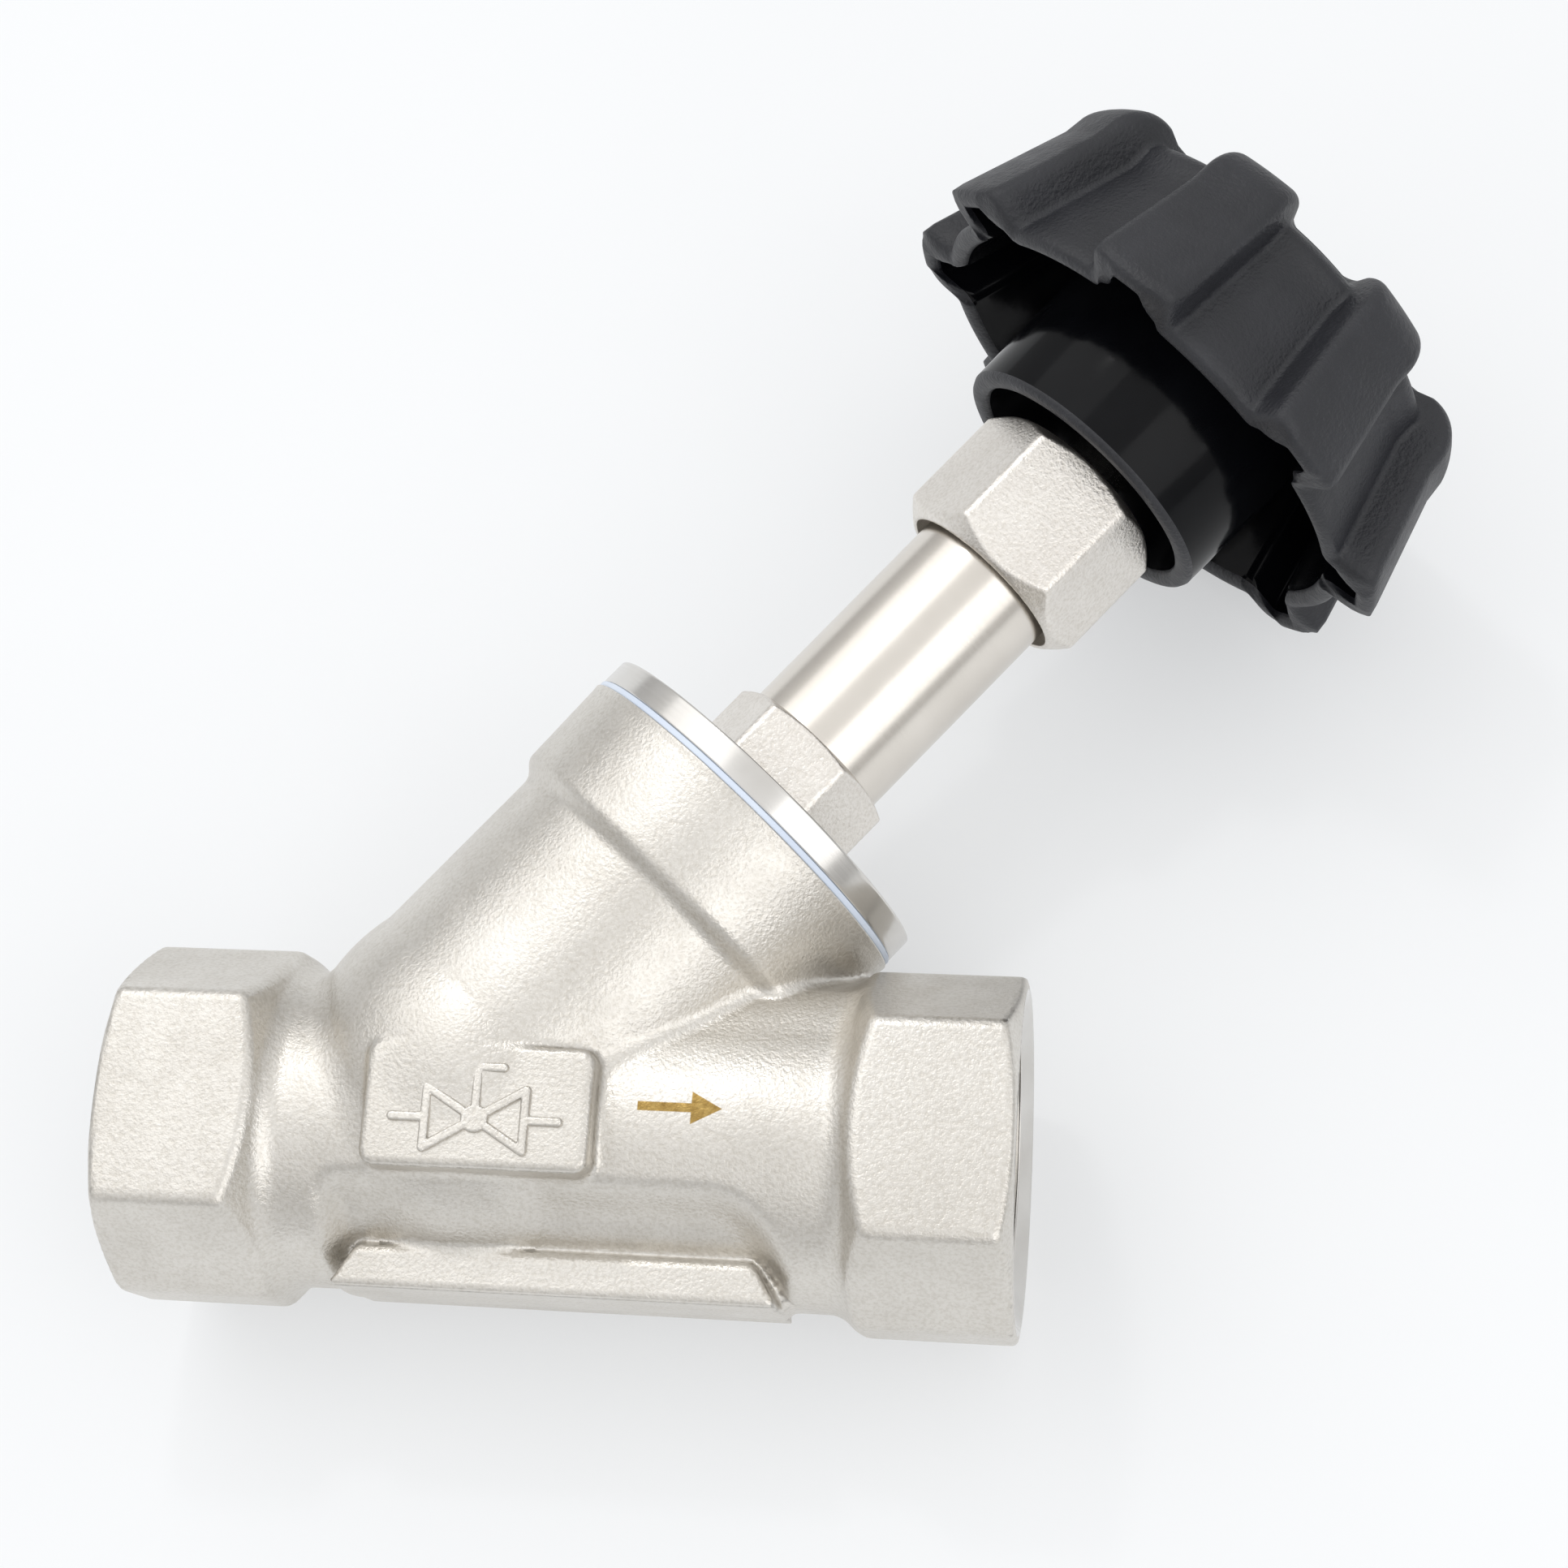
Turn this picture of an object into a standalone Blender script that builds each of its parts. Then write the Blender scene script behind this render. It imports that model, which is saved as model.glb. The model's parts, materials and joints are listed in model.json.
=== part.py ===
"""Manual Y-pattern globe valve, nominal size 32, with two female threaded hexagon ends.

The pieces are modelled in two local frames. The valve frame has X along the flow, Y towards the
bonnet in the valve's plane of symmetry and Z towards the marked side. The stem frame has Z up
the stem. Both share one origin, where the stem axis crosses the pipe axis. At the end the valve
lies on its side on the plane Z = 0, resting on its two hexagons and its handwheel.
"""

import math

import bmesh
import bpy
from mathutils import Matrix, Vector

MM = 0.001
GAP = 0.3  # between pieces that touch on the real valve, in millimetres
ROUND = 44  # segments of a large turned piece
SMALL_ROUND = 22  # segments of a small turned piece

# Driving dimensions, in millimetres and degrees.
STEM_ANGLE = 49.2  # between the flow and the stem
INLET_FACE = -40.6
OUTLET_FACE = 80.4
HEX_FLATS = 48.0
HEX_LENGTH = 21.4
HEX_SIDE = 23.8  # half width across the two corners that are cut flat
HEX_FACE_RADIUS = 23.3
SOCKET_RADIUS = 19.9
SOCKET_DEPTH = 17.0
BORE_RADIUS = 16.0
BARREL_RADIUS = 21.4
WAIST_RADIUS = 18.6
GLOBE_RADIUS = 26.4
GLOBE_HEIGHT = 10.5
NECK_RADIUS = 25.7
BOSS_RADIUS = 28.0
BOSS_BOTTOM = 45.2
BOSS_TOP = 59.0
CHAMBER_RADIUS = 22.3
SEAT_HEIGHT = 4.0
SEAT_THICKNESS = 5.0
SEAT_RADIUS = 14.4
PAD_SIZE = (30.0, 16.0)
PAD_CENTRE = 11.5
PAD_FACE = 25.3
KEEL_START = -6.4
KEEL_END = 51.0
KEEL_HALF_WIDTH = 8.0
KEEL_DEPTH = 22.2

GASKET_THICKNESS = 0.8
FLANGE_RADIUS = 27.8
FLANGE_THICKNESS = 3.9
BONNET_HEX_FLATS = 23.6
BONNET_HEX_CORNER = 13.5
BONNET_HEX_HEIGHT = 10.3
TUBE_RADIUS = 11.2
NUT_FLATS = 27.5
NUT_CORNER = 15.7
NUT_BOTTOM = 108.2
NUT_TOP = 128.2
NUT_TURN = 15.5  # of the nut's flats away from the marked side
STEM_RADIUS = 5.0
TRAVEL = 15.0  # from fully open, as modelled, to closed

WHEEL_RIM = 140.7
WHEEL_TOP = 169.5
WHEEL_SHOULDER = 162.5
LOBE_RIM_RADIUS = 43.4
LOBE_TOP_RADIUS = 37.4
LOBE_PROUD = 6.0
LOBES = 8
LOBE_HALF_ANGLE = 9.5
LOBE_SIDE_ANGLE = 2.0
LOBE_TURN = 2.0  # of the first lobe away from the marked side
WHEEL_WALL = 2.8
SLEEVE_BOTTOM = 128.6
SLEEVE_RADIUS = 21.1
SLEEVE_BORE = 18.0

# What the bonnet, the tube and the handwheel hold.
GUIDE_RADIUS = 7.2
GUIDE_BOTTOM = 52.0
GUIDE_TOP = 66.8
SPIGOT_BOTTOM = 46.0
PACKING_RADIUS = 8.8
PACKING_FLOOR = 78.0
GLAND_TOP = 108.0
TUBE_TOP = 119.0
STEM_NUT_TOP = 121.8
STEM_FOOT = 34.3
FOOT_HEIGHT = 3.7
FOOT_RADIUS = 7.0
HUB_BOTTOM = 147.0
HUB_SHOULDER = 150.3
HUB_TOP = 159.8
STEM_TOP = 167.0
STEM_THREAD = 3.2
CAP_RADIUS = 14.0
CAP_THICKNESS = 2.4

FLANGE_BOTTOM = BOSS_TOP + GASKET_THICKNESS + 2 * GAP
FLANGE_TOP = FLANGE_BOTTOM + FLANGE_THICKNESS
BONNET_TOP = FLANGE_TOP + BONNET_HEX_HEIGHT


def clear_scene():
    for old in list(bpy.data.objects):
        bpy.data.objects.remove(old, do_unlink=True)


def material(name, colour, roughness, metallic):
    made = bpy.data.materials.new(name)
    made.use_nodes = True
    shader = made.node_tree.nodes["Principled BSDF"]
    shader.inputs["Base Color"].default_value = (*colour, 1.0)
    shader.inputs["Roughness"].default_value = roughness
    shader.inputs["Metallic"].default_value = metallic
    return made


def make_materials():
    return {
        "cast": material("cast_stainless", (0.62, 0.59, 0.54), 0.42, 1.0),
        "turned": material("machined_stainless", (0.70, 0.70, 0.69), 0.22, 1.0),
        "black": material("black_plastic", (0.025, 0.026, 0.028), 0.5, 0.0),
        "white": material("white_fluoropolymer", (0.82, 0.86, 0.88), 0.45, 0.0),
        "bronze": material("bronze", (0.63, 0.44, 0.20), 0.3, 1.0),
        "rubber": material("black_rubber", (0.02, 0.02, 0.02), 0.75, 0.0),
        "spring": material("spring_steel", (0.55, 0.55, 0.56), 0.3, 1.0),
    }


def empty(name, parent=None, matrix=None):
    made = bpy.data.objects.new(name, None)
    made.empty_display_size = 0.02
    bpy.context.scene.collection.objects.link(made)
    made.parent = parent
    if matrix is not None:
        made.matrix_local = matrix
    return made


def add_object(name, mesh, parent, finish):
    made = bpy.data.objects.new(name, mesh)
    bpy.context.scene.collection.objects.link(made)
    made.parent = parent
    if finish is None:
        made.hide_render = True
        made.display_type = "WIRE"
    else:
        mesh.materials.append(finish)
    return made


def mesh_from(name, points, faces):
    """A mesh in metres from points in millimetres, with its faces turned outwards."""
    shape = bmesh.new()
    corners = [shape.verts.new([c * MM for c in point]) for point in points]
    for face in faces:
        shape.faces.new([corners[i] for i in face])
    bmesh.ops.recalc_face_normals(shape, faces=shape.faces)
    mesh = bpy.data.meshes.new(name)
    shape.to_mesh(mesh)
    shape.free()
    mesh.shade_smooth()
    mesh.set_sharp_from_angle(angle=math.radians(32))
    return mesh


def even_angles(count):
    return [2 * math.pi * i / count for i in range(count)]


def lathe(name, profile, parent, finish, angles=None, grow=None):
    """Turns a closed outline of (radius, height) about the local Z axis.

    A point on the axis has radius 0. grow(index, angle) is added to the radius of a point.
    """
    angles = angles or even_angles(ROUND)
    points = []
    rings = []
    for index, (radius, height) in enumerate(profile):
        if radius == 0:
            rings.append([len(points)] * len(angles))
            points.append((0, 0, height))
            continue
        rings.append([len(points) + i for i in range(len(angles))])
        for angle in angles:
            reach = radius + (grow(index, angle) if grow else 0)
            points.append((reach * math.cos(angle), reach * math.sin(angle), height))
    faces = []
    count = len(angles)
    pairs = list(zip(rings, rings[1:]))
    if profile[0][0] > 0:
        pairs.append((rings[-1], rings[0]))
    for low, high in pairs:
        for i in range(count):
            j = (i + 1) % count
            corners = [low[i], low[j], high[j], high[i]]
            face = list(dict.fromkeys(corners))
            if len(face) > 2:
                faces.append(face)
    return add_object(name, mesh_from(name, points, faces), parent, finish)


def ring(name, inner, outer, bottom, top, parent, finish, chamfer=0.0, segments=SMALL_ROUND):
    """A washer or sleeve, with an optional chamfer on its two outer edges."""
    if chamfer:
        outside = [
            (outer - chamfer, bottom),
            (outer, bottom + chamfer),
            (outer, top - chamfer),
            (outer - chamfer, top),
        ]
    else:
        outside = [(outer, bottom), (outer, top)]
    profile = [(inner, bottom), *outside, (inner, top)]
    return lathe(name, profile, parent, finish, even_angles(segments))


def prism(name, outline, bottom, top, parent, finish):
    """Extrudes an outline of (x, y) points along the local Z axis."""
    count = len(outline)
    points = [(x, y, bottom) for x, y in outline] + [(x, y, top) for x, y in outline]
    faces = [list(range(count)), list(range(count, 2 * count))]
    for i in range(count):
        j = (i + 1) % count
        faces.append([i, j, count + j, count + i])
    return add_object(name, mesh_from(name, points, faces), parent, finish)


def hexagon(across_flats, turn=0.0):
    """Corners of a hexagon with one flat towards local X, turned by turn degrees."""
    reach = across_flats / math.sqrt(3)
    bearings = [math.radians(30 + 60 * i + turn) for i in range(6)]
    return [(reach * math.cos(a), reach * math.sin(a)) for a in bearings]


def combine(target, other, operation):
    """Adds a Boolean. EXACT leaves open edges where the passages graze each other."""
    step = target.modifiers.new(operation.lower(), "BOOLEAN")
    step.operation = operation
    step.solver = "MANIFOLD"
    step.object = other


def hex_piece(name, flats, bottom, top, corner, chamfer, bore, parent, finish, turn=0.0):
    """A hexagon with chamfered ends and a bore, as on a nut."""
    body = prism(name, hexagon(flats, turn), bottom, top, parent, finish)
    low = corner - chamfer[0] * 2
    high = corner - chamfer[1] * 2
    barrel = [
        (0, bottom - 1),
        (low - 2, bottom - 1),
        (low, bottom),
        (corner, bottom + chamfer[0]),
        (corner, top - chamfer[1]),
        (high, top),
        (high - 2, top + 1),
        (0, top + 1),
    ]
    combine(body, lathe(name + "_barrel", barrel, parent, None, even_angles(ROUND)), "INTERSECT")
    combine(body, lathe(name + "_bore", bore, parent, None, even_angles(SMALL_ROUND)), "DIFFERENCE")
    return body


def column(radius, bottom, top):
    """The outline of a plain cylinder on the axis."""
    return [(0, bottom), (radius, bottom), (radius, top), (0, top)]


def end_hexagon(name, face, inward, pipe):
    """A hexagon end: chamfered at its face and, more steeply, where it meets the barrel."""
    inner = face + inward * HEX_LENGTH
    corner = HEX_FLATS / math.sqrt(3) + 0.5
    low, high = sorted((face - inward, inner + inward * 4))
    body = prism(name, hexagon(HEX_FLATS), low, high, pipe, None)
    outline = [
        (0, face),
        (HEX_FACE_RADIUS, face),
        (corner, face + inward * 1.8),
        (corner, inner - inward * 2.7),
        (BARREL_RADIUS - 0.5, inner + inward * 1.6),
        (0, inner + inward * 1.6),
    ]
    combine(body, lathe(name + "_barrel", outline, pipe, None, even_angles(ROUND)), "INTERSECT")
    side = HEX_SIDE
    slab = [(-40, -side), (40, -side), (40, side), (-40, side)]
    combine(body, prism(name + "_slab", slab, low - 1, high + 1, pipe, None), "INTERSECT")
    return body


def half_space(name, parent, height, above):
    """A block that fills one side of the plane across the stem at this height."""
    span = 90
    low, high = (height, height + span) if above else (height - span, height)
    corners = [(-span, -span), (span, -span), (span, span), (-span, span)]
    return prism(name, corners, low, high, parent, None)


def pipe_passage(name, start, end, pipe, stem, height, above):
    """The part of the pipe bore on one side of the seat wall."""
    bore = lathe(name, column(BORE_RADIUS, start, end), pipe, None, even_angles(ROUND))
    combine(bore, half_space(name + "_side", stem, height, above), "INTERSECT")
    return bore


def socket(name, face, inward, pipe):
    """The threaded socket of an end, at its mean thread radius, with its lead-in chamfer."""
    mouth = SOCKET_RADIUS + 2.8
    outline = [
        (0, face - inward),
        (mouth, face - inward),
        (SOCKET_RADIUS, face + inward * 1.8),
        (SOCKET_RADIUS, face + inward * SOCKET_DEPTH),
        (BORE_RADIUS - 1, face + inward * (SOCKET_DEPTH + 2.2)),
        (0, face + inward * (SOCKET_DEPTH + 2.2)),
    ]
    return lathe(name, outline, pipe, None, even_angles(ROUND))


def keel_outline():
    """Side view of the keel, with slanted ends. Its top is buried in the barrel."""
    slant = 3.6
    shoulder = -16.4
    buried = -13.0
    return [
        (KEEL_START, -KEEL_DEPTH),
        (KEEL_END, -KEEL_DEPTH),
        (KEEL_END - slant, shoulder),
        (KEEL_END - slant, buried),
        (KEEL_START + slant, buried),
        (KEEL_START + slant, shoulder),
    ]


def make_body(valve, pipe, stem, finish):
    neck = [
        (0, GLOBE_HEIGHT - 4),
        (NECK_RADIUS - 3, GLOBE_HEIGHT - 4),
        (NECK_RADIUS, GLOBE_HEIGHT),
        (NECK_RADIUS, BOSS_BOTTOM - 1.6),
        (BOSS_RADIUS - 0.9, BOSS_BOTTOM),
        (BOSS_RADIUS, BOSS_TOP),
        (0, BOSS_TOP),
    ]
    body = lathe("valve_body", neck, stem, finish)
    steps = 9
    arc = [math.radians(-90 + 180 * i / steps) for i in range(steps + 1)]
    globe = [(GLOBE_RADIUS * math.cos(a), GLOBE_RADIUS * math.sin(a)) for a in arc]
    globe = [(max(r, 0.0), GLOBE_HEIGHT + z) for r, z in globe]
    globe[0] = (0, GLOBE_HEIGHT - GLOBE_RADIUS)
    globe[-1] = (0, GLOBE_HEIGHT + GLOBE_RADIUS)
    combine(body, lathe("globe", globe, stem, None, even_angles(ROUND)), "UNION")

    barrel = column(BARREL_RADIUS, INLET_FACE + 10, OUTLET_FACE - 10)
    barrel = lathe("barrel", barrel, pipe, None)
    pocket = [(-9.5, -40), (50, -40), (50, -16), (45, -9.5), (-9.5, -9.5)]
    pocket = prism("pocket", pocket, -40, 40, valve, None)
    waist = lathe("waist", column(WAIST_RADIUS, -30, 70), pipe, None, even_angles(ROUND))
    combine(pocket, waist, "DIFFERENCE")
    combine(barrel, pocket, "DIFFERENCE")
    combine(body, barrel, "UNION")
    keel = prism("keel", keel_outline(), -KEEL_HALF_WIDTH, KEEL_HALF_WIDTH, valve, None)
    combine(body, keel, "UNION")

    half_length, half_height = PAD_SIZE[0] / 2, PAD_SIZE[1] / 2
    cut = 1.2
    pad = []
    for x, y in ((1, 1), (-1, 1), (-1, -1), (1, -1)):
        first = (PAD_CENTRE + x * half_length, y * (half_height - cut))
        second = (PAD_CENTRE + x * (half_length - cut), y * half_height)
        pad += [first, second] if x * y > 0 else [second, first]
    combine(body, prism("marking_pad", pad, 8, PAD_FACE, valve, None), "UNION")

    combine(body, end_hexagon("inlet_hexagon", INLET_FACE, 1, pipe), "UNION")
    combine(body, end_hexagon("outlet_hexagon", OUTLET_FACE, -1, pipe), "UNION")

    seat_bottom = SEAT_HEIGHT - SEAT_THICKNESS
    cuts = [
        lathe("chamber", column(CHAMBER_RADIUS, SEAT_HEIGHT, BOSS_TOP + 5), stem, None),
        lathe("seat_bore", column(SEAT_RADIUS, seat_bottom - 3, SEAT_HEIGHT + 3), stem, None),
        pipe_passage("inlet_passage", INLET_FACE + 8, 40, pipe, stem, seat_bottom, False),
        pipe_passage("outlet_passage", -20, OUTLET_FACE - 8, pipe, stem, SEAT_HEIGHT + 0.5, True),
        socket("inlet_socket", INLET_FACE, 1, pipe),
        socket("outlet_socket", OUTLET_FACE, -1, pipe),
    ]
    for cutter in cuts:
        combine(body, cutter, "DIFFERENCE")
    return body


def make_bonnet(stem, finishes):
    """The screwed bonnet with its hexagon, its gasket, guide bush and the tube that it carries."""
    ring(
        "bonnet_gasket", CHAMBER_RADIUS + 0.4, BOSS_RADIUS + 0.1, BOSS_TOP + GAP,
        BOSS_TOP + GAP + GASKET_THICKNESS, stem, finishes["white"], segments=ROUND,
    )
    spigot = CHAMBER_RADIUS - 0.4
    skirt = spigot - 3.6
    guide = GUIDE_RADIUS
    bonnet = lathe("bonnet", [
        (guide, GUIDE_BOTTOM),
        (guide + 3.6, GUIDE_BOTTOM),
        (guide + 4.6, GUIDE_BOTTOM + 3.5),
        (skirt, GUIDE_BOTTOM + 5.0),
        (skirt, SPIGOT_BOTTOM),
        (spigot - 0.8, SPIGOT_BOTTOM),
        (spigot, SPIGOT_BOTTOM + 0.8),
        (spigot, FLANGE_BOTTOM),
        (FLANGE_RADIUS - 0.4, FLANGE_BOTTOM),
        (FLANGE_RADIUS, FLANGE_BOTTOM + 0.4),
        (FLANGE_RADIUS, FLANGE_TOP - 0.4),
        (FLANGE_RADIUS - 0.4, FLANGE_TOP),
        (guide + 2, FLANGE_TOP),
        (guide + 2, GUIDE_TOP),
        (guide, GUIDE_TOP),
    ], stem, finishes["turned"])
    bore = [(0, FLANGE_TOP - 6), (guide + 2, FLANGE_TOP - 6), (guide + 2, 90), (0, 90)]
    hexagon_part = hex_piece(
        "bonnet_hexagon", BONNET_HEX_FLATS, FLANGE_TOP - 1, BONNET_TOP, BONNET_HEX_CORNER,
        (0.0, 0.9), bore, stem, None, turn=8.0,
    )
    combine(bonnet, hexagon_part, "UNION")

    ring(
        "guide_bush", STEM_RADIUS + GAP, guide - GAP, GUIDE_BOTTOM + GAP, GUIDE_TOP - 0.4, stem,
        finishes["bronze"], 0.4,
    )
    tube_spigot = guide + 2 - GAP
    lathe("bonnet_tube", [
        (STEM_RADIUS + GAP, GUIDE_TOP + GAP),
        (tube_spigot, GUIDE_TOP + GAP),
        (tube_spigot, BONNET_TOP + GAP),
        (TUBE_RADIUS, BONNET_TOP + GAP),
        (TUBE_RADIUS, TUBE_TOP - 0.4),
        (TUBE_RADIUS - 0.4, TUBE_TOP),
        (PACKING_RADIUS, TUBE_TOP),
        (PACKING_RADIUS, PACKING_FLOOR),
        (STEM_RADIUS + GAP, PACKING_FLOOR),
    ], stem, finishes["turned"], even_angles(ROUND))


def coil_points(radius, pitch, turns, bottom):
    per_turn = 14
    count = int(per_turn * turns) + 1
    found = []
    for i in range(count):
        angle = 2 * math.pi * i / per_turn
        height = bottom + pitch * i / per_turn
        found.append((radius * math.cos(angle), radius * math.sin(angle), height))
    return found


def make_spring(name, radius, wire, pitch, turns, bottom, stem, finish):
    curve = bpy.data.curves.new(name, "CURVE")
    curve.dimensions = "3D"
    curve.bevel_depth = wire / 2 * MM
    curve.bevel_resolution = 1
    curve.use_fill_caps = True
    spline = curve.splines.new("POLY")
    points = coil_points(radius, pitch, turns, bottom)
    spline.points.add(len(points) - 1)
    for point, place in zip(spline.points, points):
        point.co = (place[0] * MM, place[1] * MM, place[2] * MM, 1)
    return add_object(name, curve, stem, finish)


def make_packing(stem, finishes):
    """The spring-loaded packing set in the tube, below the threaded stem nut."""
    inner = STEM_RADIUS + GAP
    outer = PACKING_RADIUS - GAP
    middle = (inner + outer) / 2
    wire, pitch, turns = 1.3, 2.3, 3.5
    coil_bottom = PACKING_FLOOR + wire
    make_spring("packing_spring", middle, wire, pitch, turns, coil_bottom, stem, finishes["spring"])
    washer = coil_bottom + pitch * turns + wire / 2 + GAP + 0.1
    thickness = 1.2
    ring("packing_washer", inner, outer, washer, washer + thickness, stem, finishes["turned"])
    vee = 0.7
    height = 1.9
    bottom = washer + thickness + GAP
    for number in range(1, 5):
        lathe(f"packing_ring_{number}", [
            (inner, bottom),
            (middle, bottom + vee),
            (outer, bottom),
            (outer, bottom + height),
            (middle, bottom + height + vee),
            (inner, bottom + height),
        ], stem, finishes["white"], even_angles(SMALL_ROUND))
        bottom += height + GAP
    lathe("packing_gland", [
        (inner, bottom),
        (middle, bottom + vee),
        (outer, bottom),
        (outer, GLAND_TOP),
        (inner, GLAND_TOP),
    ], stem, finishes["turned"], even_angles(SMALL_ROUND))


def make_top_nut(stem, finishes):
    """The hexagon nut that clamps the threaded stem nut to the tube, with its wiper ring."""
    shank = PACKING_RADIUS - GAP
    collar = TUBE_RADIUS - 0.4
    lathe("stem_nut", [
        (STEM_RADIUS + GAP, GLAND_TOP + GAP),
        (shank, GLAND_TOP + GAP),
        (shank, TUBE_TOP + GAP),
        (collar, TUBE_TOP + GAP),
        (collar, STEM_NUT_TOP),
        (STEM_RADIUS + GAP, STEM_NUT_TOP),
    ], stem, finishes["bronze"], even_angles(SMALL_ROUND))
    counterbore = 12.6
    wiper = 8.4
    wiper_bottom = 125.4
    bore = [
        (0, NUT_BOTTOM - 2),
        (counterbore, NUT_BOTTOM - 2),
        (counterbore, NUT_BOTTOM + 2.8),
        (TUBE_RADIUS + GAP, NUT_BOTTOM + 3.4),
        (TUBE_RADIUS + GAP, STEM_NUT_TOP + GAP),
        (STEM_RADIUS + 1, STEM_NUT_TOP + GAP),
        (STEM_RADIUS + 1, wiper_bottom),
        (wiper, wiper_bottom),
        (wiper, NUT_TOP + 2),
        (0, NUT_TOP + 2),
    ]
    hex_piece(
        "top_nut", NUT_FLATS, NUT_BOTTOM, NUT_TOP, NUT_CORNER, (1.2, 1.0), bore, stem,
        finishes["cast"], turn=NUT_TURN,
    )
    ring(
        "wiper_ring", STEM_RADIUS + GAP, wiper - GAP, wiper_bottom + GAP, NUT_TOP - GAP, stem,
        finishes["rubber"], 0.3,
    )


def make_stem(turning, finishes):
    """The rising stem: a foot that turns in the plug, the shaft and the end that holds the wheel."""
    foot = STEM_FOOT
    seat = 4.0
    lathe("stem", [
        (0, foot),
        (FOOT_RADIUS - 0.6, foot),
        (FOOT_RADIUS, foot + 0.6),
        (FOOT_RADIUS, foot + FOOT_HEIGHT),
        (STEM_RADIUS, foot + FOOT_HEIGHT),
        (STEM_RADIUS, HUB_SHOULDER),
        (seat, HUB_SHOULDER),
        (seat, HUB_TOP - 1.3),
        (STEM_THREAD, HUB_TOP - 0.6),
        (STEM_THREAD, STEM_TOP - 0.6),
        (STEM_THREAD - 0.6, STEM_TOP),
        (0, STEM_TOP),
    ], turning, finishes["turned"], even_angles(SMALL_ROUND))
    hole = STEM_THREAD + GAP
    washer = HUB_TOP + GAP
    nut = washer + 1.4 + GAP
    ring("wheel_washer", hole, 8.5, washer, nut - GAP, turning, finishes["turned"])
    hex_piece(
        "wheel_nut", 10.0, nut, nut + 4.6, 5.7, (0.3, 0.3), column(hole, nut - 2, STEM_TOP + 3),
        turning, finishes["turned"],
    )


def lobe_angles():
    """Angles round the wheel, with a point at each corner of each lobe."""
    half, side = LOBE_HALF_ANGLE, LOBE_SIDE_ANGLE
    valley = 360 / LOBES - half - side
    offsets = [-half, -half / 3, half / 3, half]
    offsets += [half + side + (valley - half - side) * i / 3 for i in range(4)]
    period = 360 / LOBES
    return [
        math.radians(-LOBE_TURN + period * lobe + offset)
        for lobe in range(LOBES)
        for offset in offsets
    ]


def on_lobe(angle):
    period = 2 * math.pi / LOBES
    away = (angle + math.radians(LOBE_TURN) + period / 2) % period - period / 2
    return abs(away) <= math.radians(LOBE_HALF_ANGLE) + 1e-6


def make_wheel(turning, finish):
    """One moulding: lobed skirt, top plate and the hub sleeve that passes over the top nut."""
    rim = LOBE_RIM_RADIUS
    wall = WHEEL_WALL
    skirt = [
        (rim - 1.0, WHEEL_RIM, 1.0),
        (rim - 0.2, WHEEL_RIM + 0.8, 1.0),
        (LOBE_TOP_RADIUS, WHEEL_SHOULDER, 1.0),
        (LOBE_TOP_RADIUS - 1.6, WHEEL_SHOULDER + 3.9, 0.9),
        (LOBE_TOP_RADIUS - 5.0, WHEEL_TOP - 0.6, 0.5),
        (LOBE_TOP_RADIUS - 8.6, WHEEL_TOP, 0.0),
        (CAP_RADIUS, WHEEL_TOP, 0.0),
        (CAP_RADIUS, WHEEL_TOP - CAP_THICKNESS, 0.0),
        (CAP_RADIUS - 2.0, WHEEL_TOP - CAP_THICKNESS, 0.0),
        (CAP_RADIUS - 2.0, HUB_TOP, 0.0),
        (4.0 + GAP, HUB_TOP, 0.0),
        (4.0 + GAP, HUB_SHOULDER + GAP, 0.0),
        (STEM_RADIUS + 2.0, HUB_SHOULDER + GAP, 0.0),
        (STEM_RADIUS + 2.0, HUB_BOTTOM, 0.0),
        (SLEEVE_BORE, HUB_BOTTOM, 0.0),
        (SLEEVE_BORE, SLEEVE_BOTTOM, 0.0),
        (SLEEVE_RADIUS, SLEEVE_BOTTOM, 0.0),
        (SLEEVE_RADIUS, WHEEL_SHOULDER + 1.6, 0.0),
        (LOBE_TOP_RADIUS - wall - 7.4, WHEEL_SHOULDER + 3.2, 0.0),
        (LOBE_TOP_RADIUS - wall - 2.2, WHEEL_SHOULDER + 1.6, 0.8),
        (LOBE_TOP_RADIUS - wall, WHEEL_SHOULDER - 2.0, 1.0),
        (rim - wall, WHEEL_RIM, 1.0),
    ]

    def sink(index, angle):
        return 0.0 if on_lobe(angle) else -LOBE_PROUD * skirt[index][2]

    profile = [(radius, height) for radius, height, _ in skirt]
    lathe("handwheel", profile, turning, finish, lobe_angles(), sink)


def make_cap(turning, finish):
    radius = CAP_RADIUS - GAP
    lathe("wheel_cap", [
        (0, WHEEL_TOP - CAP_THICKNESS + GAP),
        (radius, WHEEL_TOP - CAP_THICKNESS + GAP),
        (radius, WHEEL_TOP - 0.4),
        (radius - 0.4, WHEEL_TOP),
        (0, WHEEL_TOP),
    ], turning, finish, even_angles(ROUND))


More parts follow.
